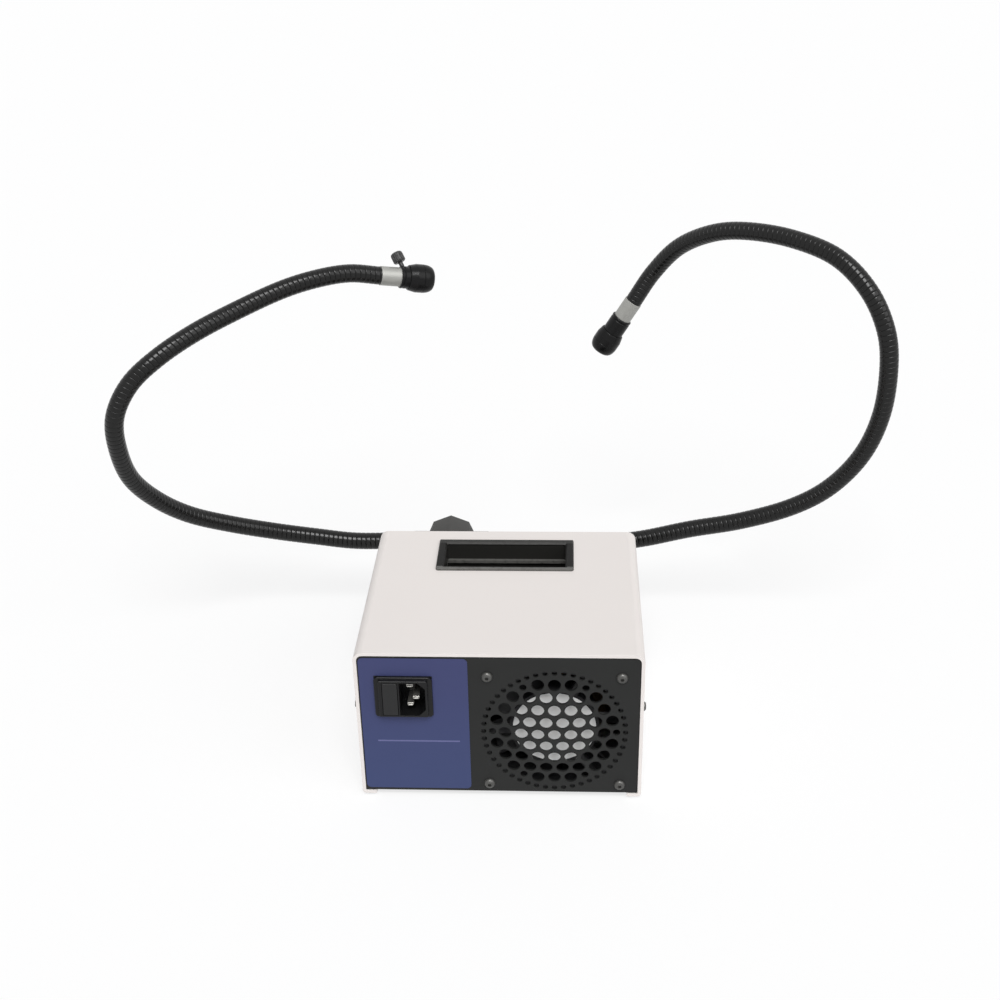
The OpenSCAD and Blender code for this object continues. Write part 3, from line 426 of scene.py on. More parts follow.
@dataclass(frozen=True)
class Turned(Finish):
    """Metal turned on a lathe: fine rings round the piece's own axis."""

    at: Place = (0.0, 0.0, 0.0)
    axis: Place = Z_AXIS
    pitch: float = 0.25 * MM
    relief: float = 0.004 * MM
    spread: float = 0.12
    smear: float = 6 * MM

    def on(self, at: Place, axis: Place) -> "Turned":
        """Gives the same finish on another axis."""
        stamp = "_".join(f"{round(v / MM)}" for v in at).replace("-", "m")
        return replace(self, name=f"{self.name}_{stamp}", at=tuple(at), axis=tuple(axis))

    def surface(self, paint: Paint) -> tuple[Wire, Wire, Wire]:
        """Gives rings and smears."""
        local = paint.turned(self.at, self.axis)
        x, y, z = paint.parts(local)
        radius = paint.maths("SQRT", x * x + y * y)
        rings = paint.node("TexNoise", {"noise_dimensions": "1D"}, {
            "W": z + radius, "Scale": 1.0 / self.pitch, "Detail": 3.0, "Roughness": 0.7})
        smear = paint.noise(local, self.smear, Speckle.SMEAR)
        colour = paint.blend(self.shade(1 - self.spread), self.shade(1 + self.spread),
                             rings * 0.5 + smear * 0.5)
        return colour, smear * 0.16 + rings * 0.08 + (self.roughness - 0.12), rings


@dataclass(frozen=True)
class Brushed(Finish):
    """Sheet metal or foil with long fine scratches."""

    grain: Place = (0.2 * MM, 12 * MM, 12 * MM)
    relief: float = 0.004 * MM
    spangle: float = 0.15
    patch: float = 4 * MM

    def surface(self, paint: Paint) -> tuple[Wire, Wire, Wire]:
        """Gives scratches over faint patches."""
        place = paint.place()
        lines = paint.noise(paint.stretched(place, self.grain), 1.0, Speckle.SCRATCH)
        patch = paint.node("TexVoronoi", {"feature": "F1"}, {"Vector": place, "Scale": 1.0 / self.patch},
                           "Distance")
        colour = paint.blend(self.shade(1 - self.spangle), self.shade(1 + self.spangle),
                             lines * 0.6 + patch * 0.4)
        return colour, lines * 0.15 + patch * 0.08 + (self.roughness - 0.1), lines


@dataclass(frozen=True)
class Glassy(Finish):
    """Clear or tinted glass with faint smears."""

    ior: float = 1.5
    smear: float = 5 * MM
    relief: float = 0.002 * MM

    def fixed(self) -> dict:
        """Lets the light through."""
        return super().fixed() | {"Transmission Weight": 1.0, "IOR": self.ior}

    def surface(self, paint: Paint) -> tuple[Wire, Wire, Wire]:
        """Gives smears."""
        smear = paint.clamp(paint.noise(paint.place(), self.smear, Speckle.GREASE), 0.45, 0.75)
        colour = paint.blend(self.colour, self.shade(1.03), smear)
        return colour, smear * 0.1 + self.roughness, smear


@dataclass(frozen=True)
class FibreFace(Finish):
    """The polished end of a bundle of glass fibres."""

    fibre: float = 0.22 * MM
    resin: Colour = (0.12, 0.11, 0.09)
    relief: float = 0.01 * MM

    def surface(self, paint: Paint) -> tuple[Wire, Wire, Wire]:
        """Gives fibres, each of its own tint, in dark resin."""
        cells = {"Vector": paint.place(), "Scale": 1.0 / self.fibre}
        edge = paint.node("TexVoronoi", {"feature": "DISTANCE_TO_EDGE"}, cells, "Distance")
        tint = paint.node("TexVoronoi", {"feature": "F1"}, cells, "Color")
        core = paint.clamp(edge, 0.03, 0.14)
        colour = paint.blend(self.resin, paint.blend(self.colour, tint, 0.12), core)
        return colour, core * -0.2 + (self.roughness + 0.2), core


@dataclass(frozen=True)
class Layered(Finish):
    """Stacked laminations or wound tape: even stripes along one axis."""

    along: int = 1
    pitch: float = 0.5 * MM
    groove: Colour = (0.03, 0.03, 0.03)
    relief: float = 0.08 * MM
    cloud: float = 9 * MM

    def surface(self, paint: Paint) -> tuple[Wire, Wire, Wire]:
        """Gives stripes."""
        place = paint.place()
        share = paint.maths("FRACT", paint.parts(place)[self.along] / self.pitch)
        crest = paint.clamp(paint.maths("ABSOLUTE", share - 0.5) * -2.0 + 1.0, 0.05, 0.4)
        cloud = paint.noise(place, self.cloud, Speckle.CLOUD)
        colour = paint.blend(self.groove, paint.blend(self.colour, self.shade(1.2), cloud), crest)
        return colour, cloud * 0.2 + (self.roughness - 0.1), crest


@dataclass(frozen=True)
class Board(Finish):
    """A circuit board with copper tracks, a can and a red relay on it."""

    face_y: float = 59.9 * MM
    relay_z: float = 59.5 * MM
    relay_colour: Colour = (0.45, 0.03, 0.02)
    can_x: float = 37.0 * MM
    can_colour: Colour = (0.03, 0.03, 0.035)
    tracks_per_metre: float = 120.0
    track_colour: Colour = (0.06, 0.3, 0.13)
    cloud: float = 4 * MM
    relief: float = 0.03 * MM

    def surface(self, paint: Paint) -> tuple[Wire, Wire, Wire]:
        """Gives the tracks, and colours what stands on the board."""
        place = paint.place()
        x, y, z = paint.parts(place)
        tracks = paint.node("TexBrick", {"offset": 0.5, "squash": 0.6}, {
            "Vector": paint.node("CombineXYZ", inputs={0: x, 1: z}), "Scale": self.tracks_per_metre,
            "Mortar Size": 0.03, "Color1": (*self.colour, 1), "Mortar": (*self.track_colour, 1),
            "Color2": (*self.shade(0.8), 1)})
        off_board = paint.maths("LESS_THAN", y, self.face_y)
        relay = off_board * paint.maths("LESS_THAN", z, self.relay_z)
        can = off_board * paint.maths("LESS_THAN", x, self.can_x) * (1 - relay)
        colour = paint.blend(paint.blend(tracks, self.relay_colour, relay), self.can_colour, can)
        cloud = paint.noise(place, self.cloud, Speckle.CLOUD)
        return colour, cloud * 0.25 + (self.roughness - 0.1), cloud


@dataclass(frozen=True)
class HoseSkin(Finish):
    """Black plastic on a wound steel strip: dull and darkened with painted shade in the grooves, worn
    paler on the crests.
    """

    cloud: float = 14 * MM
    grain: float = 0.7 * MM
    relief: float = 0.005 * MM

    def surface(self, paint: Paint) -> tuple[Wire, Wire, Wire]:
        """Gives dull grooves darkened with painted shade, and crests worn paler."""
        place = paint.place()
        groove = paint.node("Attribute", {"attribute_name": "groove"}, out="Fac")
        cloud = paint.noise(place, self.cloud, Speckle.SKIN)
        crest = paint.blend(self.colour, self.shade(1.9, 0.003), cloud * (1 - groove))
        # painted shade: the grooves are coloured darker than the crests
        colour = paint.blend(crest, self.shade(0.35), groove)
        rough = groove * 0.3 + cloud * 0.1 + (self.roughness - 0.05)
        return colour, rough, paint.noise(place, self.grain)


INLET_PLASTIC = Grained("inlet_plastic", (0.006, 0.006, 0.0065), 0.3, 0.2, relief=0.008 * MM,
                        mottle=0.1, clearcoat=0.05)
DRAWER_PLASTIC = replace(INLET_PLASTIC, name="drawer_plastic", colour=(0.009, 0.009, 0.0095),
                         specular=0.3)
WHITE_PRINT = Grained("dial_print", (0.6, 0.6, 0.58), 0.5, 0.3, grain=0.3 * MM)
HOSE_BLACK = HoseSkin("hose_black", (0.0022, 0.0022, 0.0021), 0.18, specular=0.28)
BRIGHT_ALLOY = Turned("bright_alloy", (0.35, 0.35, 0.33), 0.48, metallic=0.6, spread=0.22)
BLACK_ALLOY = Turned("black_anodised", (0.014, 0.014, 0.015), 0.36, specular=0.3, metallic=0.2)
TIP_BLACK = Turned("tip_black", (0.005, 0.005, 0.0052), 0.27, specular=0.17, spread=0.25,
                   relief=0.0004 * MM)
SCREW_GREY = Turned("screw_grey", (0.04, 0.04, 0.04), 0.36, specular=0.3, metallic=0.2, spread=0.25)

# One finish for each material slot of the frame.
FINISHES: tuple[Finish, ...] = (
    INLET_PLASTIC, HOSE_BLACK, BRIGHT_ALLOY, BLACK_ALLOY, TIP_BLACK, SCREW_GREY,
    Grained("cover_enamel", (0.735, 0.693, 0.668), 0.42, 0.35, grain=0.7 * MM, relief=0.012 * MM,
            mottle=0.025, cloud=60 * MM),
    Grained("black_steel", (0.015, 0.0155, 0.015), 0.5, 0.2, grain=0.45 * MM, relief=0.03 * MM,
            mottle=0.15, cloud=30 * MM),
    Film("label_blue", (0.042, 0.057, 0.145), 0.42, 0.2, grain=0.6 * MM, relief=0.01 * MM,
         mottle=0.05, cloud=35 * MM),
    # the handle's finish paints highlights on its rims and finger rib
    HandleWithPaintedLight("handle_plastic", (0.007, 0.0066, 0.006), 0.38, 0.1, grain=0.35 * MM,
               relief=0.03 * MM, mottle=0.12, clouding=0.2),
    Brushed("zinc_screw", (0.50, 0.50, 0.47), 0.34, metallic=0.9, spangle=0.12),
    Brushed("zinc_sheet", (0.54, 0.55, 0.54), 0.38, metallic=0.9, spangle=0.2,
            grain=(5 * MM, 5 * MM, 0.4 * MM)),
    Brushed("foil", (0.90, 0.90, 0.89), 0.45, metallic=0.25, spangle=0.08,
            grain=(9 * MM, 9 * MM, 0.5 * MM)),
    Brushed("plated_pin", (0.50, 0.49, 0.46), 0.3, metallic=0.9, spangle=0.12),
    Brushed("heat_sink_alloy", (0.6, 0.6, 0.61), 0.36, metallic=0.9,
            grain=(6 * MM, 6 * MM, 0.3 * MM)),
    Grained("rubber_black", (0.018, 0.018, 0.018), 0.75, 0.25, dust=0.12),
    Grained("fan_plastic", (0.012, 0.012, 0.013), 0.5, 0.35, grain=0.4 * MM, dust=0.08),
    Grained("black_screw", (0.085, 0.084, 0.08), 0.36, metallic=0.6, grain=0.3 * MM, mottle=0.25,
            cloud=3 * MM),
    Grained("knob_black", (0.016, 0.016, 0.017), 0.42, 0.45, grain=0.3 * MM),
    Grained("switch_plastic", (0.013, 0.013, 0.014), 0.34, relief=0.01 * MM),
    Grained("lamp_ceramic", (0.66, 0.61, 0.52), 0.8, 0.3, grain=0.6 * MM, relief=0.05 * MM),
    Grained("junction_grey", (0.056, 0.055, 0.053), 0.55, 0.25, grain=0.6 * MM, relief=0.05 * MM,
            mottle=0.15, cloud=12 * MM),
    Layered("core_steel", (0.16, 0.16, 0.17), 0.45, metallic=0.7),
    Layered("coil_wrap", (0.10, 0.055, 0.015), 0.4, along=2, pitch=0.9 * MM,
            groove=(0.03, 0.015, 0.006)),
    Board("board_green", (0.02, 0.12, 0.045), 0.38),
    Glassy("fuse_glass", (0.86, 0.9, 0.9), 0.03),
    Glassy("dichroic_glass", (0.78, 0.84, 0.9), 0.06),
    Glassy("lamp_glass", (0.97, 0.98, 1.0), 0.01, ior=1.46),
    Glassy("filter_glass", (0.62, 0.86, 0.78), 0.02),
    Glassy("lens_glass", (0.93, 0.96, 0.98), 0.0, ior=1.52),
    FibreFace("fibre_end", (0.86, 0.83, 0.72), 0.15))


# ---------------------------------------------------------------- workshop


class Mode(Enum):
    """Blender's object and edit modes."""

    OBJECT = "OBJECT"
    EDIT = "EDIT"


def enter(mode: Mode) -> None:
    """Switches the active object's mode."""
    bpy.ops.object.mode_set(mode=mode.value)


def take(*pieces: Object) -> None:
    """Selects these pieces alone and makes the first one active.

    Args:
        pieces: the pieces to select.
    """
    bpy.ops.object.select_all(action="DESELECT")
    for piece in pieces:
        piece.select_set(True)
    bpy.context.view_layer.objects.active = pieces[0]


def added(name: str, data: bpy.types.ID) -> Object:
    """Adds an object to the scene.

    Args:
        name: the object's name.
        data: its mesh, curve, lamp or camera.

    Returns:
        The object.
    """
    made = bpy.data.objects.new(name, data)
    bpy.context.collection.objects.link(made)
    return made


def applied(piece: Object, kind: str, **settings: object) -> Object:
    """Adds a modifier to a piece and applies it.

    Args:
        piece: the piece.
        kind: the modifier's type.
        settings: the modifier's properties.

    Returns:
        The piece.
    """
    take(piece)
    made = piece.modifiers.new(kind.title(), kind)
    for key, value in settings.items():
        setattr(made, key, value)
    bpy.ops.object.modifier_apply(modifier=made.name)
    return piece


class Workshop:
    """Turns the frame's nodes into finished pieces."""

    doubles: float = 0.002 * MM  # corners nearer than this are one
    flat: float = 0.6  # faces that meet at less than this many degrees are one

    def __init__(self, frame: dict) -> None:
        """Reads which body and which slot each node has.
        """
        record = frame["record"]
        self.nodes: dict[str, Object] = frame["nodes"]
        self.slots = {part["node"]: part["material_slot"] for part in record["subparts"]}
        self.bodies = {node: body for body, nodes in record["behaviour"]["bodies"].items()
                       for node in nodes}
        self.materials: dict[str, Material] = {}
        self.by_name = {finish.name: finish for finish in FINISHES}

    def material(self, finish: Finish) -> Material:
        """Gives a finish's material, built once."""
        if finish.name not in self.materials:
            self.materials[finish.name] = finish.material()
        return self.materials[finish.name]

    def paint_frame(self) -> None:
        """Gives every node of the frame the finish of its slot."""
        for name, node in self.nodes.items():
            made = self.material(self.by_name[self.slots[name]])
            if not node.material_slots:
                node.data.materials.append(made)
            for place in node.material_slots:
                place.material = made

    def paint(self, piece: Object, finish: Finish) -> None:
        """Gives a piece one finish all over."""
        piece.data.materials.clear()
        piece.data.materials.append(self.material(finish))

    def traced(self, node: str) -> Object:
        """Copies a node of the frame into a new piece with whole, closed faces.

        Args:
            node: the node.

        Returns:
            The piece.
        """
        piece = added(f"{node}_finished", self.nodes[node].data.copy())
        take(piece)
        enter(Mode.EDIT)
        bpy.ops.mesh.select_mode(type="VERT")
        bpy.ops.mesh.select_all(action="SELECT")
        bpy.ops.mesh.remove_doubles(threshold=self.doubles)
        bpy.ops.mesh.dissolve_limited(angle_limit=math.radians(self.flat))
        enter(Mode.OBJECT)
        return piece

    def eased(self, piece: Object, width: float, steps: int = 2, angle: float = SHARP) -> Object:
        """Rounds a piece's sharp edges and smooths its curved faces.

        Args:
            piece: the piece.
            width: the width of the rounding, or 0 for none.
            steps: the number of faces across it.
            angle: edges sharper than this, in degrees, are rounded.

        Returns:
            The piece.
        """
        if width:
            applied(piece, "BEVEL", width=width, segments=steps, limit_method="ANGLE",
                    angle_limit=math.radians(angle), miter_outer="MITER_ARC")
        take(piece)
        bpy.ops.object.shade_smooth_by_angle(angle=math.radians(angle))
        return applied(piece, "WEIGHTED_NORMAL", keep_sharp=True, weight=80)

    def hand_over(self, piece: Object, node: str, finish: Finish | None = None) -> Object:
        """Makes a piece stand for a node of the frame, on its body.

        Args:
            piece: the piece.
            node: the node it stands for.
            finish: its finish, or the slot's own where none is given.

        Returns:
            The piece.
        """
        slot, body = self.slots[node], self.bodies[node]
        self.paint(piece, finish or self.by_name[slot])
        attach(piece, body)
        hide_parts(node)
        LOG.info("%s rides on %s", piece.name, body)
        return piece

    def refined(self, node: str, width: float = 0.0, steps: int = 2, finish: Finish | None = None,
                angle: float = SHARP) -> Object:
        """Makes a node of the frame again with rounded edges.

        Args:
            node: the node.
            width: the width of the rounding, or 0 for none.
            steps: the number of faces across it.
            finish: its finish, or the slot's own where none is given.
            angle: edges sharper than this, in degrees, are rounded.

        Returns:
            The piece.
        """
        piece = self.eased(self.traced(node), width, steps, angle)
        return self.hand_over(piece, node, finish)


@dataclass
class Assembly:
    """Pieces that belong together."""

    shop: Workshop

    def build(self) -> None:
        """Builds the pieces."""
        raise NotImplementedError


# ---------------------------------------------------------------- the box


@dataclass
class Housing(Assembly):
    """The sheet metal box with its panels, handle, feet and screws."""

    sheet_edge: float = 0.45 * MM
    hole_edge: float = 0.18 * MM
    moulded_edge: float = 0.5 * MM

    def build(self) -> None:
        """Builds the box."""
        self.shop.refined("cover", self.sheet_edge, FINE)
        for plate in ("chassis_base", "rear_panel", "front_panel"):
            self.shop.refined(plate, self.hole_edge)
        self.shop.refined("rear_label")
        self.shop.refined("handle_tray", self.moulded_edge, FINE)
        self.shop.refined("feet", self.moulded_edge)
        for screws in ("cover_screws", "base_screws", "feet_screws"):
            self.shop.refined(screws, SCREW_EDGE)


@dataclass
class Fan(Assembly):
    """The fan behind the grille."""

    edge: float = 0.4 * MM

    def build(self) -> None:
        """Builds the fan."""
        self.shop.refined("fan_frame", self.edge)
        self.shop.refined("fan_rotor", self.edge)
        self.shop.refined("motor_label")
        self.shop.refined("fan_screws", SCREW_EDGE)


@dataclass
class MainsInlet(Assembly):
    """The mains socket with its pins, fuse drawer and fuses."""

    socket_edge: float = 0.35 * MM
    drawer_edge: float = 0.3 * MM
    pin_edge: float = 0.45 * MM
    cap_edge: float = 0.3 * MM

    def build(self) -> None:
        """Builds the inlet."""
        self.shop.refined("inlet_housing", self.socket_edge, FINE)
        self.shop.refined("fuse_drawer", self.drawer_edge, FINE, DRAWER_PLASTIC)
        self.shop.refined("inlet_pins", self.pin_edge)
        self.shop.refined("fuses", self.cap_edge)


@dataclass
class Controls(Assembly):
    """The front panel's knob with its dial, and the power switch."""

    knob_at: Place = (48 * MM, 74.4 * MM, 68 * MM)
    knob_edge: float = 0.3 * MM
    edge: float = 0.4 * MM
    dial_radius: float = 20 * MM
    sweep: float = 280.0
    ticks: int = 11
    long_tick: float = 3.2 * MM
    short_tick: float = 2.0 * MM
    tick_width: float = 0.55 * MM
    tick_depth: float = 0.12 * MM
    tick_proud: float = 0.05 * MM
    tick_edge: float = 0.03 * MM

    def build(self) -> None:
        """Builds the controls."""
        self.shop.refined("knob", self.knob_edge)
        self.shop.refined("pot_shaft", self.edge, finish=BRIGHT_ALLOY.on(self.knob_at, Y_AXIS))
        for part in ("switch_housing", "rocker"):
            self.shop.refined(part, self.edge, FINE)
        self.dial()

    def dial(self) -> Object:
        """Prints the ring of marks round the knob.

        Returns:
            The marks, as one piece.
        """
        x, y, z = self.knob_at
        marks = []
        for i in range(self.ticks):
            turn = math.radians(-self.sweep / 2 + self.sweep * i / (self.ticks - 1))
            long = i in (0, (self.ticks - 1) / 2, self.ticks - 1)
            length = self.long_tick if long else self.short_tick
            bpy.ops.mesh.primitive_cube_add(size=1, location=(0, 0, self.dial_radius + length / 2))
            mark = bpy.context.active_object
            mark.scale = (self.tick_width, self.tick_depth, length)
            bpy.ops.object.transform_apply(location=True, rotation=True, scale=True)
            mark.data.transform(Matrix.Translation((x, y + self.tick_proud, z))
                                @ Matrix.Rotation(turn, 4, "Y"))
            marks.append(mark)
        take(*marks)
        bpy.ops.object.join()
        piece = marks[0]
        piece.name = "dial_marks"
        self.shop.eased(piece, self.tick_edge, 1)
        self.shop.paint(piece, WHITE_PRINT)
        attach(piece, "lamp_house")
        return piece


@dataclass
class LampHouse(Assembly):
    """The lamp, its power supply and the light port."""

    port_at: Place = (-46 * MM, 75 * MM, 62 * MM)
    port_edge: float = 0.4 * MM
    screw_at: Place = (-46 * MM, 86 * MM, 76 * MM)
    inner_edges: tuple[tuple[str, float], ...] = (
        ("transformer_core", 0.4 * MM), ("transformer_coil", 0.8 * MM),
        ("transformer_bracket", 0.2 * MM), ("dimmer_board", 0.3 * MM), ("heat_sink", 0.2 * MM),
        ("potentiometer", 0.3 * MM), ("lamp_bracket", 0.2 * MM), ("lamp_socket", 0.6 * MM),
        ("lamp_reflector", 0.2 * MM), ("lamp_capsule", 0.15 * MM), ("heat_filter", 0.3 * MM))

    def build(self) -> None:
        """Builds the port with its screw, and the inner pieces."""
        self.shop.refined("light_port", self.port_edge, finish=BLACK_ALLOY.on(self.port_at, Y_AXIS))
        self.shop.refined("port_screw", SCREW_EDGE, finish=BLACK_ALLOY.on(self.screw_at, Z_AXIS))
        for node, edge in self.inner_edges:
            self.shop.refined(node, edge)


# ---------------------------------------------------------------- light guide


class Side(Enum):
    """The two arms, as seen from behind the box."""

    LEFT = "left"
    RIGHT = "right"

    def node(self, part: str) -> str:
        """Gives the name of one of this arm's nodes or bodies."""
        return f"{self.value}_{part}"


@dataclass
class Junction(Assembly):
    """The stem in the port and the eight-sided block where the bundle parts in two."""

    axis_at: Place = (-46 * MM, 75 * MM, 62 * MM)
    stem_edge: float = 0.35 * MM
    sides: int = 8
    edge: float = 0.6 * MM
    middle_y: float = 145 * MM
    neck_y: float = 118 * MM
    neck_radius: float = 11 * MM
    radius: float = 19 * MM
    half: float = 8 * MM
    chamfer: float = 2 * MM
    sleeve_radius: float = 7.6 * MM
    sleeve_end: float = 28 * MM
    sleeve_sides: int = 48
    screw_y: float = 147 * MM
    screw_depth: float = 13.5 * MM
    screw_turn: float = 15.0
    hole_turn: float = 150.0
    hole_radius: float = 1.6 * MM
    hole_sides: int = 24
    touch: float = 0.01 * MM

    def build(self) -> None:
        """Builds the stem and the block."""
        self.shop.refined("guide_stem", self.stem_edge, finish=BRIGHT_ALLOY.on(self.axis_at, Y_AXIS))
        self.shop.refined("input_fibres")
        self.block()
        screws = self.shop.traced("junction_screws")
        centre = Vector((self.axis_at[0], self.screw_y, self.axis_at[2]))
        screws.data.transform(Matrix.Translation(centre)
                              @ Matrix.Rotation(math.radians(-self.screw_turn), 4, "Y")
                              @ Matrix.Translation(-centre))
        self.shop.hand_over(self.shop.eased(screws, SCREW_EDGE), "junction_screws")

    def rod(self, radius: float, low: Vector, high: Vector, sides: int) -> Object:
        """Adds a closed rod between two places.

        Args:
            radius: its radius.
            low: the middle of one end.
            high: the middle of the other end.
            sides: the number of its sides.

        Returns:
            The rod, at the origin.
        """
        along = high - low
        bpy.ops.object.select_all(action="DESELECT")
        bpy.ops.mesh.primitive_cylinder_add(
            vertices=sides, radius=radius, depth=along.length, location=(low + high) / 2,
            rotation=along.to_track_quat("Z", "X").to_euler())
        bpy.ops.object.transform_apply(location=True, rotation=True, scale=True)
        return bpy.context.active_object

    def block(self) -> Object:
        """Models the block: a ridge on top, a neck towards the port and a sleeve on each side.

        Returns:
            The block.
        """
        x, _, z = self.axis_at
        near, far = self.middle_y - self.half, self.middle_y + self.half - self.chamfer
        piece = self.rod(self.radius, Vector((x, near, z)), Vector((x, far, z)), self.sides)
        piece.name = "junction_block_finished"
        ends = ((near, self.neck_y, self.neck_radius / self.radius),
                (far, far + self.chamfer, 1 - self.chamfer / self.radius))
        for here, there, share in ends:
            enter(Mode.EDIT)
            bpy.ops.mesh.select_mode(type="FACE")
            bpy.ops.mesh.select_all(action="DESELECT")
            enter(Mode.OBJECT)
            for face in piece.data.polygons:
                face.select = abs(face.center.y - here) < self.touch and abs(face.normal.y) > 0.9
            enter(Mode.EDIT)
            bpy.ops.mesh.extrude_region_move(
                TRANSFORM_OT_translate={"value": (0, there - here, 0)})
            bpy.ops.transform.resize(value=(share, 1, share), center_override=(x, there, z))
            enter(Mode.OBJECT)
        tools = [("UNION", self.rod(self.sleeve_radius, Vector((x + low, self.middle_y, z)),
                                    Vector((x + high, self.middle_y, z)), self.sleeve_sides))
                 for low, high in ((-self.sleeve_end, -self.half), (self.half, self.sleeve_end))]
        first = math.radians(self.hole_turn)
        for turn in (first, first + math.pi):
            out = Vector((math.cos(turn), 0, math.sin(turn)))
            start = Vector((x, self.screw_y, z)) + self.screw_depth * out
            hole = self.rod(self.hole_radius, start, start + self.half * out, self.hole_sides)
            tools.append(("DIFFERENCE", hole))
        for operation, tool in tools:
            applied(piece, "BOOLEAN", operation=operation, object=tool, solver="EXACT")
            bpy.data.objects.remove(tool)
        return self.shop.hand_over(self.shop.eased(piece, self.edge, FINE), "junction_block")


@dataclass
class Route:
    """A smooth curve through a gooseneck's points, in millimetres."""

    points: Sequence[Place]
    nudge: float = 0.001
    steps_measured: int = 40

    @property
    def last(self) -> int:
        """Gives the number of the last point."""
        return len(self.points) - 1

    @property
    def length(self) -> float:
        """Gives the length of the whole curve."""
        return self.length_to(self.last)

    def knot(self, i: int) -> Vector:
        """Gives a point of the route.

        Args:
            i: its number, which may be one before the first or one after the last.

        Returns:
            The point, or the one that carries an end straight on.
        """
        if i < 0:
            return 2 * self.knot(0) - self.knot(1)
        if i > self.last:
            return 2 * self.knot(self.last) - self.knot(self.last - 1)
        return Vector(self.points[i]) * MM

    def at(self, t: float) -> Vector:
        """Gives a place on the curve.

        Args:
            t: how far along it is, counted in points.

        Returns:
            The place.
        """
        i = min(int(t), self.last - 1)
        s = t - i
        a, b, c, d = (self.knot(i + k) for k in (-1, 0, 1, 2))
        return (2 * b + (c - a) * s + (2 * a - 5 * b + 4 * c - d) * s * s
                + (3 * b - a - 3 * c + d) * s ** 3) / 2

    def heading(self, t: float) -> Vector:
        """Gives the curve's direction at t, counted in points."""
        beyond, before = min(t + self.nudge, self.last), max(t - self.nudge, 0)
        return (self.at(beyond) - self.at(before)).normalized()

    def samples(self, per_point: int = 12) -> list[Vector]:
        """Gives closely spaced places along the curve."""
        return [self.at(i / per_point) for i in range(self.last * per_point + 1)]

    def length_to(self, t: float) -> float:
        """Measures the curve.

        Args:
            t: where the measured stretch ends, counted in points.

        Returns:
            Its length from the first point on.
        """
        steps = max(1, round(t * self.steps_measured))
        places = [self.at(t * i / steps) for i in range(steps + 1)]
        return sum((b - a).length for a, b in zip(places, places[1:]))


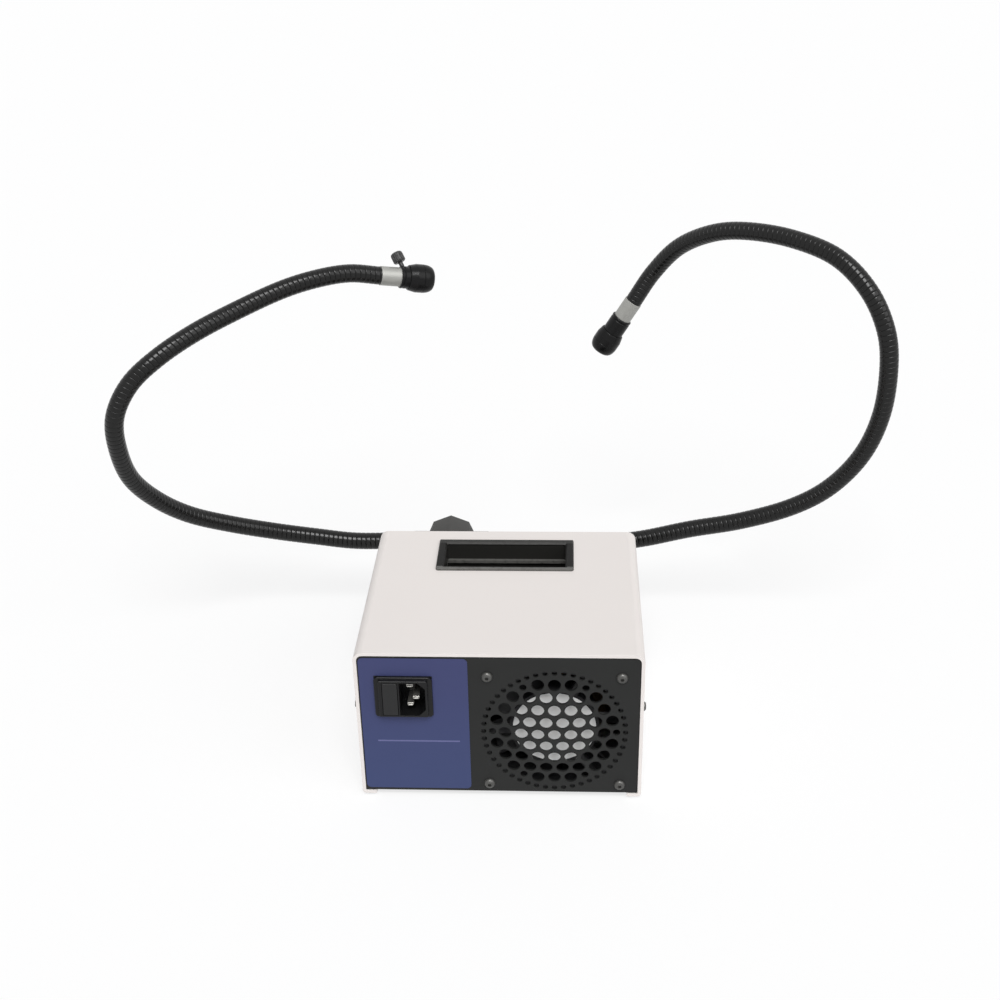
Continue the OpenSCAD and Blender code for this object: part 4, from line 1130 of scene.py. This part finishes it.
@dataclass
class Gooseneck(Assembly):
    """One ribbed arm, in three stretches, each laid round one of its bends."""

    side: Side
    route: Route
    bends: tuple[int, int, int]
    splits: tuple[float, float]
    radius: float = 6.35 * MM
    groove_depth: float = 0.32 * MM
    pitch: float = 3.6 * MM
    facets: int = 28
    spare_turns: int = 3
    into_sleeve: float = 3.0 * MM
    into_ferrule: float = 1.0 * MM
    lead_in: float = 14.0 * MM
    lead_out: float = 30.0 * MM
    smooth: float = 60.0
    doubles: float = 0.001 * MM
    cut: float = 0.0001 * MM
    crest: tuple[tuple[float, float], ...] = (
        (0.0, 1.0), (0.04, 0.66), (0.08, 0.28), (0.13, 0.09), (0.2, 0.02), (0.32, 0.0),
        (0.68, 0.0), (0.8, 0.02), (0.87, 0.09), (0.92, 0.28), (0.96, 0.66), (1.0, 1.0))

    def build(self) -> None:
        """Builds the arm."""
        tube = self.ribbed_tube()
        ends = (-self.into_sleeve, *(self.route.length_to(t) for t in self.splits),
                self.route.length + self.into_ferrule)
        guide = self.guide_curve()
        bodies = ("light_guide", *(self.side.node(part) for part in ("lower_arm", "upper_arm", "tip")))
        nodes = (("hose_1", "hose_2"), ("hose_3",), ("hose_4",))
        for i, name in enumerate(("hose_lower", "hose_middle", "hose_upper")):
            piece = self.stretch(tube, self.side.node(name), ends[i], ends[i + 1])
            applied(piece, "CURVE", object=guide, deform_axis="POS_Z")
            self.shop.paint(piece, HOSE_BLACK)
            knee = self.route.at(self.bends[i])
            ahead = self.route.heading(self.bends[i])
            lead = self.lead_in if i == 0 else self.lead_out
            tuple(knee - lead * ahead)
            tuple(knee + self.lead_out * ahead)
            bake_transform(piece)
            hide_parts(*(self.side.node(part) for part in nodes[i]))
            LOG.info("%s bends between %s and %s", piece.name, bodies[i], bodies[i + 1])
        bpy.data.objects.remove(tube)
        bpy.data.objects.remove(guide)

    def outline(self) -> list[Vector]:
        """Gives the points of one rib, whose crest lists shares of the pitch and groove depth."""
        return [Vector((self.radius - depth * self.groove_depth, 0, place * self.pitch))
                for place, depth in self.crest]

    def ribbed_tube(self) -> Object:
        """Winds one rib's outline into a straight tube along Z.

        Returns:
            The open tube, a little longer than the arm.
        """
        bpy.ops.mesh.primitive_plane_add(size=MM)
        tube = bpy.context.active_object
        tube.name = self.side.node("tube")
        enter(Mode.EDIT)
        bpy.ops.mesh.merge(type="CENTER")
        outline = self.outline()
        bpy.ops.transform.translate(value=outline[0])
        for here, there in zip(outline, outline[1:]):
            bpy.ops.mesh.extrude_region_move(TRANSFORM_OT_translate={"value": there - here})
        enter(Mode.OBJECT)
        turns = math.ceil(self.route.length / self.pitch) + 2 * self.spare_turns
        applied(tube, "SCREW", steps=self.facets, render_steps=self.facets, iterations=turns,
                screw_offset=self.pitch, use_merge_vertices=False, axis="Z",
                angle=2 * math.pi)
        enter(Mode.EDIT)
        bpy.ops.mesh.select_all(action="SELECT")
        bpy.ops.mesh.remove_doubles(threshold=self.doubles)
        bpy.ops.mesh.normals_make_consistent(inside=False)
        bpy.ops.transform.translate(value=(0, 0, -self.spare_turns * self.pitch))
        enter(Mode.OBJECT)
        groove = tube.data.attributes.new("groove", "FLOAT", "POINT")
        for vertex, value in zip(tube.data.vertices, groove.data):
            value.value = (self.radius - vertex.co.xy.length) / self.groove_depth
        return tube

    def stretch(self, tube: Object, name: str, low: float, high: float) -> Object:
        """Cuts a stretch out of the straight tube and closes its ends.

        Args:
            tube: the whole tube.
            name: the new piece's name.
            low: where it starts along Z.
            high: where it ends.

        Returns:
            The closed stretch.
        """
        piece = added(name, tube.data.copy())
        take(piece)
        enter(Mode.EDIT)
        for height, below in ((low, True), (high, False)):
            bpy.ops.mesh.select_all(action="SELECT")
            bpy.ops.mesh.bisect(plane_co=(0, 0, height), plane_no=Z_AXIS, use_fill=True,
                                clear_inner=below, clear_outer=not below, threshold=self.cut)
        bpy.ops.mesh.select_all(action="SELECT")
        bpy.ops.mesh.normals_make_consistent(inside=False)
        enter(Mode.OBJECT)
        bpy.ops.object.shade_smooth_by_angle(angle=math.radians(self.smooth))
        return piece

    def guide_curve(self) -> Object:
        """Lays the arm's route as a curve.

        Returns:
            The curve.
        """
        curve = bpy.data.curves.new(self.side.node("route"), "CURVE")
        curve.dimensions = "3D"
        curve.twist_mode = "MINIMUM"
        places = self.route.samples()
        spline = curve.splines.new("POLY")
        spline.points.add(len(places) - 1)
        for point, place in zip(spline.points, places):
            point.co = (*place, 1.0)
        guide = added(self.side.node("route"), curve)
        bpy.context.view_layer.update()
        return guide


@dataclass
class Tip(Assembly):
    """A gooseneck's end: the bright ferrule with its collar, lens head and thumbscrew."""

    side: Side
    route: Route
    screw_side: Place
    ferrule_seen: float
    screw_lean: float = 24.0
    collar_middle: float = 6.1 * MM
    ferrule_edge: float = 0.35 * MM
    collar_edge: float = 0.18 * MM
    head_edge: float = 0.3 * MM
    head_sharp: float = 18.0
    lens_edge: float = 0.15 * MM

    def screw_axis(self, ahead: Vector) -> Vector:
        """Gives the thumbscrew's direction, which leans back from square to the tip.

        Args:
            ahead: the tip's direction.

        Returns:
            The direction from the tip out to the screw's knob.
        """
        across = Vector(self.screw_side)
        across = (across - across.dot(ahead) * ahead).normalized()
        lean = math.radians(self.screw_lean)
        return math.cos(lean) * across - math.sin(lean) * ahead

    def build(self) -> None:
        """Builds the tip."""
        end, ahead = self.route.at(self.route.last), self.route.heading(self.route.last)
        screw_at = end + ahead * (self.ferrule_seen + self.collar_middle)
        black = TIP_BLACK.on(end, ahead)
        grey = SCREW_GREY.on(screw_at, self.screw_axis(ahead))
        refined, node = self.shop.refined, self.side.node
        refined(node("ferrule"), self.ferrule_edge, FINE, BRIGHT_ALLOY.on(end, ahead))
        refined(node("fibres"))
        refined(node("collar"), self.collar_edge, finish=black)
        refined(node("head"), self.head_edge, FINE, black, self.head_sharp)
        refined(node("lens"), self.lens_edge)
        refined(node("screw"), SCREW_EDGE, finish=grey)


LEFT_ROUTE = Route((
    (-74, 145, 62), (-91, 145, 62), (-120, 145, 62), (-148, 144, 66), (-180, 140, 73),
    (-210, 131, 84), (-235.5, 118, 99), (-253, 102, 120), (-263.5, 85, 146), (-264.5, 71, 176),
    (-260.5, 64, 203), (-248.5, 67, 225), (-230.5, 77, 240), (-208, 95, 251), (-181, 115, 260),
    (-154, 131, 268), (-131, 142, 272), (-110, 151, 272.5), (-90, 159, 268)))
RIGHT_ROUTE = Route((
    (-18, 145, 62), (-1, 145, 62), (35, 145, 61), (68, 145, 61), (98, 145, 65), (133, 144, 74),
    (170, 141, 83), (205, 135, 98), (230, 127, 119), (248, 118, 149), (257, 113, 182),
    (258, 111, 217), (254, 115, 244), (242, 127, 268), (222, 145, 285), (194, 167, 291),
    (165, 187, 290), (143, 203, 283), (122, 221, 267), (105, 232, 244), (91, 233, 221)))


# ---------------------------------------------------------------- studio


@dataclass(frozen=True)
class Lamp:
    """A far, soft lamp. Its spread, tilt from above and turn to the right are in degrees."""

    name: str
    power: float
    spread: float
    tilt: float
    turn: float


@dataclass
class Studio:
    """Camera, lamps, sky and floor."""

    camera_at: Place = (0.04055, -0.78308, 0.59941)
    pitch: float = 28.368
    yaw: float = 3.023
    roll: float = -1.214
    lens: float = 51.04
    sensor: float = 36.0
    reach: float = 50.0
    hung: tuple[Lamp, ...] = (Lamp("key", 2.4, 30, 33, 6), Lamp("fill", 0.75, 45, 54, 58))
    sky: float = 0.3
    sky_colour: Colour = (0.97, 0.98, 1.0)
    floor_size: float = 16.0
    floor_colour: Colour = (0.9, 0.9, 0.9)
    floor_roughness: float = 0.9
    floor_glow: float = 0.72
    white: Colour = (1.0, 1.0, 1.0)

    def build(self) -> None:
        """Sets the studio up."""
        bpy.context.scene.view_settings.view_transform = "Standard"
        self.camera()
        self.lamps()
        self.world()
        self.floor()

    def camera(self) -> Object:
        """Places the camera where the photograph was taken.

        Returns:
            The camera.
        """
        sine, cosine = math.sin(math.radians(self.pitch)), math.cos(math.radians(self.pitch))
        yaw = Matrix.Rotation(math.radians(self.yaw), 3, "Z")
        ahead = yaw @ Vector((0, cosine, -sine))
        right, up = yaw @ Vector((1, 0, 0)), yaw @ Vector((0, sine, cosine))
        turn = math.radians(self.roll)
        across = math.cos(turn) * right + math.sin(turn) * up
        upward = math.cos(turn) * up - math.sin(turn) * right
        data = bpy.data.cameras.new("camera")
        data.lens = self.lens
        data.sensor_width = self.sensor
        data.clip_end = self.reach
        camera = added("camera", data)
        axes = Matrix((across, upward, -ahead)).transposed()
        camera.matrix_world = Matrix.Translation(self.camera_at) @ axes.to_4x4()
        bpy.context.scene.camera = camera
        return camera

    def lamps(self) -> None:
        """Hangs the soft key lamp over the camera, and a weaker one lower and to the right."""
        for lamp in self.hung:
            data = bpy.data.lights.new(lamp.name, "SUN")
            data.energy = lamp.power
            data.angle = math.radians(lamp.spread)
            turned = math.radians(lamp.tilt), 0, math.radians(lamp.turn)
            added(lamp.name, data).rotation_euler = turned

    @staticmethod
    def background(nodes: Nodes) -> Wire:
        """Is 1 for rays that should meet the white background."""
        seen = nodes.node("LightPath", out="Is Camera Ray")
        glossy = nodes.node("LightPath", out="Is Glossy Ray")
        through = nodes.node("LightPath", out="Is Transmission Ray")
        return nodes.maths("MAXIMUM", seen, nodes.maths("MAXIMUM", glossy, through))

    def whitened(self, nodes: Nodes, plain: str, kind: str, end: str, share: float = 1.0) -> None:
        """Lets the rays that should meet the white background see white in place of a plain shader.

        Args:
            nodes: the tree of the sky or the floor.
            plain: the name of its plain shader.
            kind: the type of node that shines white.
            end: the name of the tree's output.
            share: how much of the plain shader the white takes the place of.
        """
        glow = nodes.node(kind, inputs={"Color": (*self.white, 1), "Strength": 1.0})
        seen = self.background(nodes) * share
        mixed = nodes.node("MixShader", inputs={0: seen, 1: nodes.named(plain), 2: glow})
        nodes.feed(nodes.tree.nodes[end], {"Surface": mixed})

    def world(self) -> None:
        """Lights the sky: white where it is seen, softer where it lights the object."""
        sky = bpy.data.worlds.new("sky")
        bpy.context.scene.world = sky
        sky.use_nodes = True
        nodes = Nodes(sky.node_tree)
        soft = {"Color": (*self.sky_colour, 1), "Strength": self.sky}
        nodes.feed(nodes.tree.nodes["Background"], soft)
        self.whitened(nodes, "Background", "Background", "World Output")

    def floor(self) -> Object:
        """Lays the pale floor, which keeps the object's shadow.

        Returns:
            The floor.
        """
        bpy.ops.mesh.primitive_plane_add(size=self.floor_size)
        floor = bpy.context.active_object
        floor.name = "floor"
        paint = Paint("floor_white")
        paint.dress({}, {"Base Color": (*self.floor_colour, 1), "Roughness": self.floor_roughness,
                         "Specular IOR Level": 0.0})
        self.whitened(paint, "Principled BSDF", "Emission", "Material Output", self.floor_glow)
        floor.data.materials.append(paint.material)
        return floor


def main() -> None:
    """Builds the whole scene."""
    logging.basicConfig(level=logging.INFO, format="%(message)s")
    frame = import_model()
    Studio().build()
    shop = Workshop(frame)
    shop.paint_frame()
    assemblies: tuple[Assembly, ...] = (
        Housing(shop), Fan(shop), MainsInlet(shop), Controls(shop), LampHouse(shop), Junction(shop),
        Gooseneck(shop, Side.LEFT, LEFT_ROUTE, bends=(1, 5, 15), splits=(3, 10)),
        Tip(shop, Side.LEFT, LEFT_ROUTE, screw_side=(-0.08, 0.65, 0.76), ferrule_seen=14.5 * MM),
        Gooseneck(shop, Side.RIGHT, RIGHT_ROUTE, bends=(1, 7, 17), splits=(4, 12)),
        Tip(shop, Side.RIGHT, RIGHT_ROUTE, screw_side=(0.22, 0.97, -0.09), ferrule_seen=15.5 * MM))
    for assembly in assemblies:
        assembly.build()


if __name__ == "__main__":
    main()
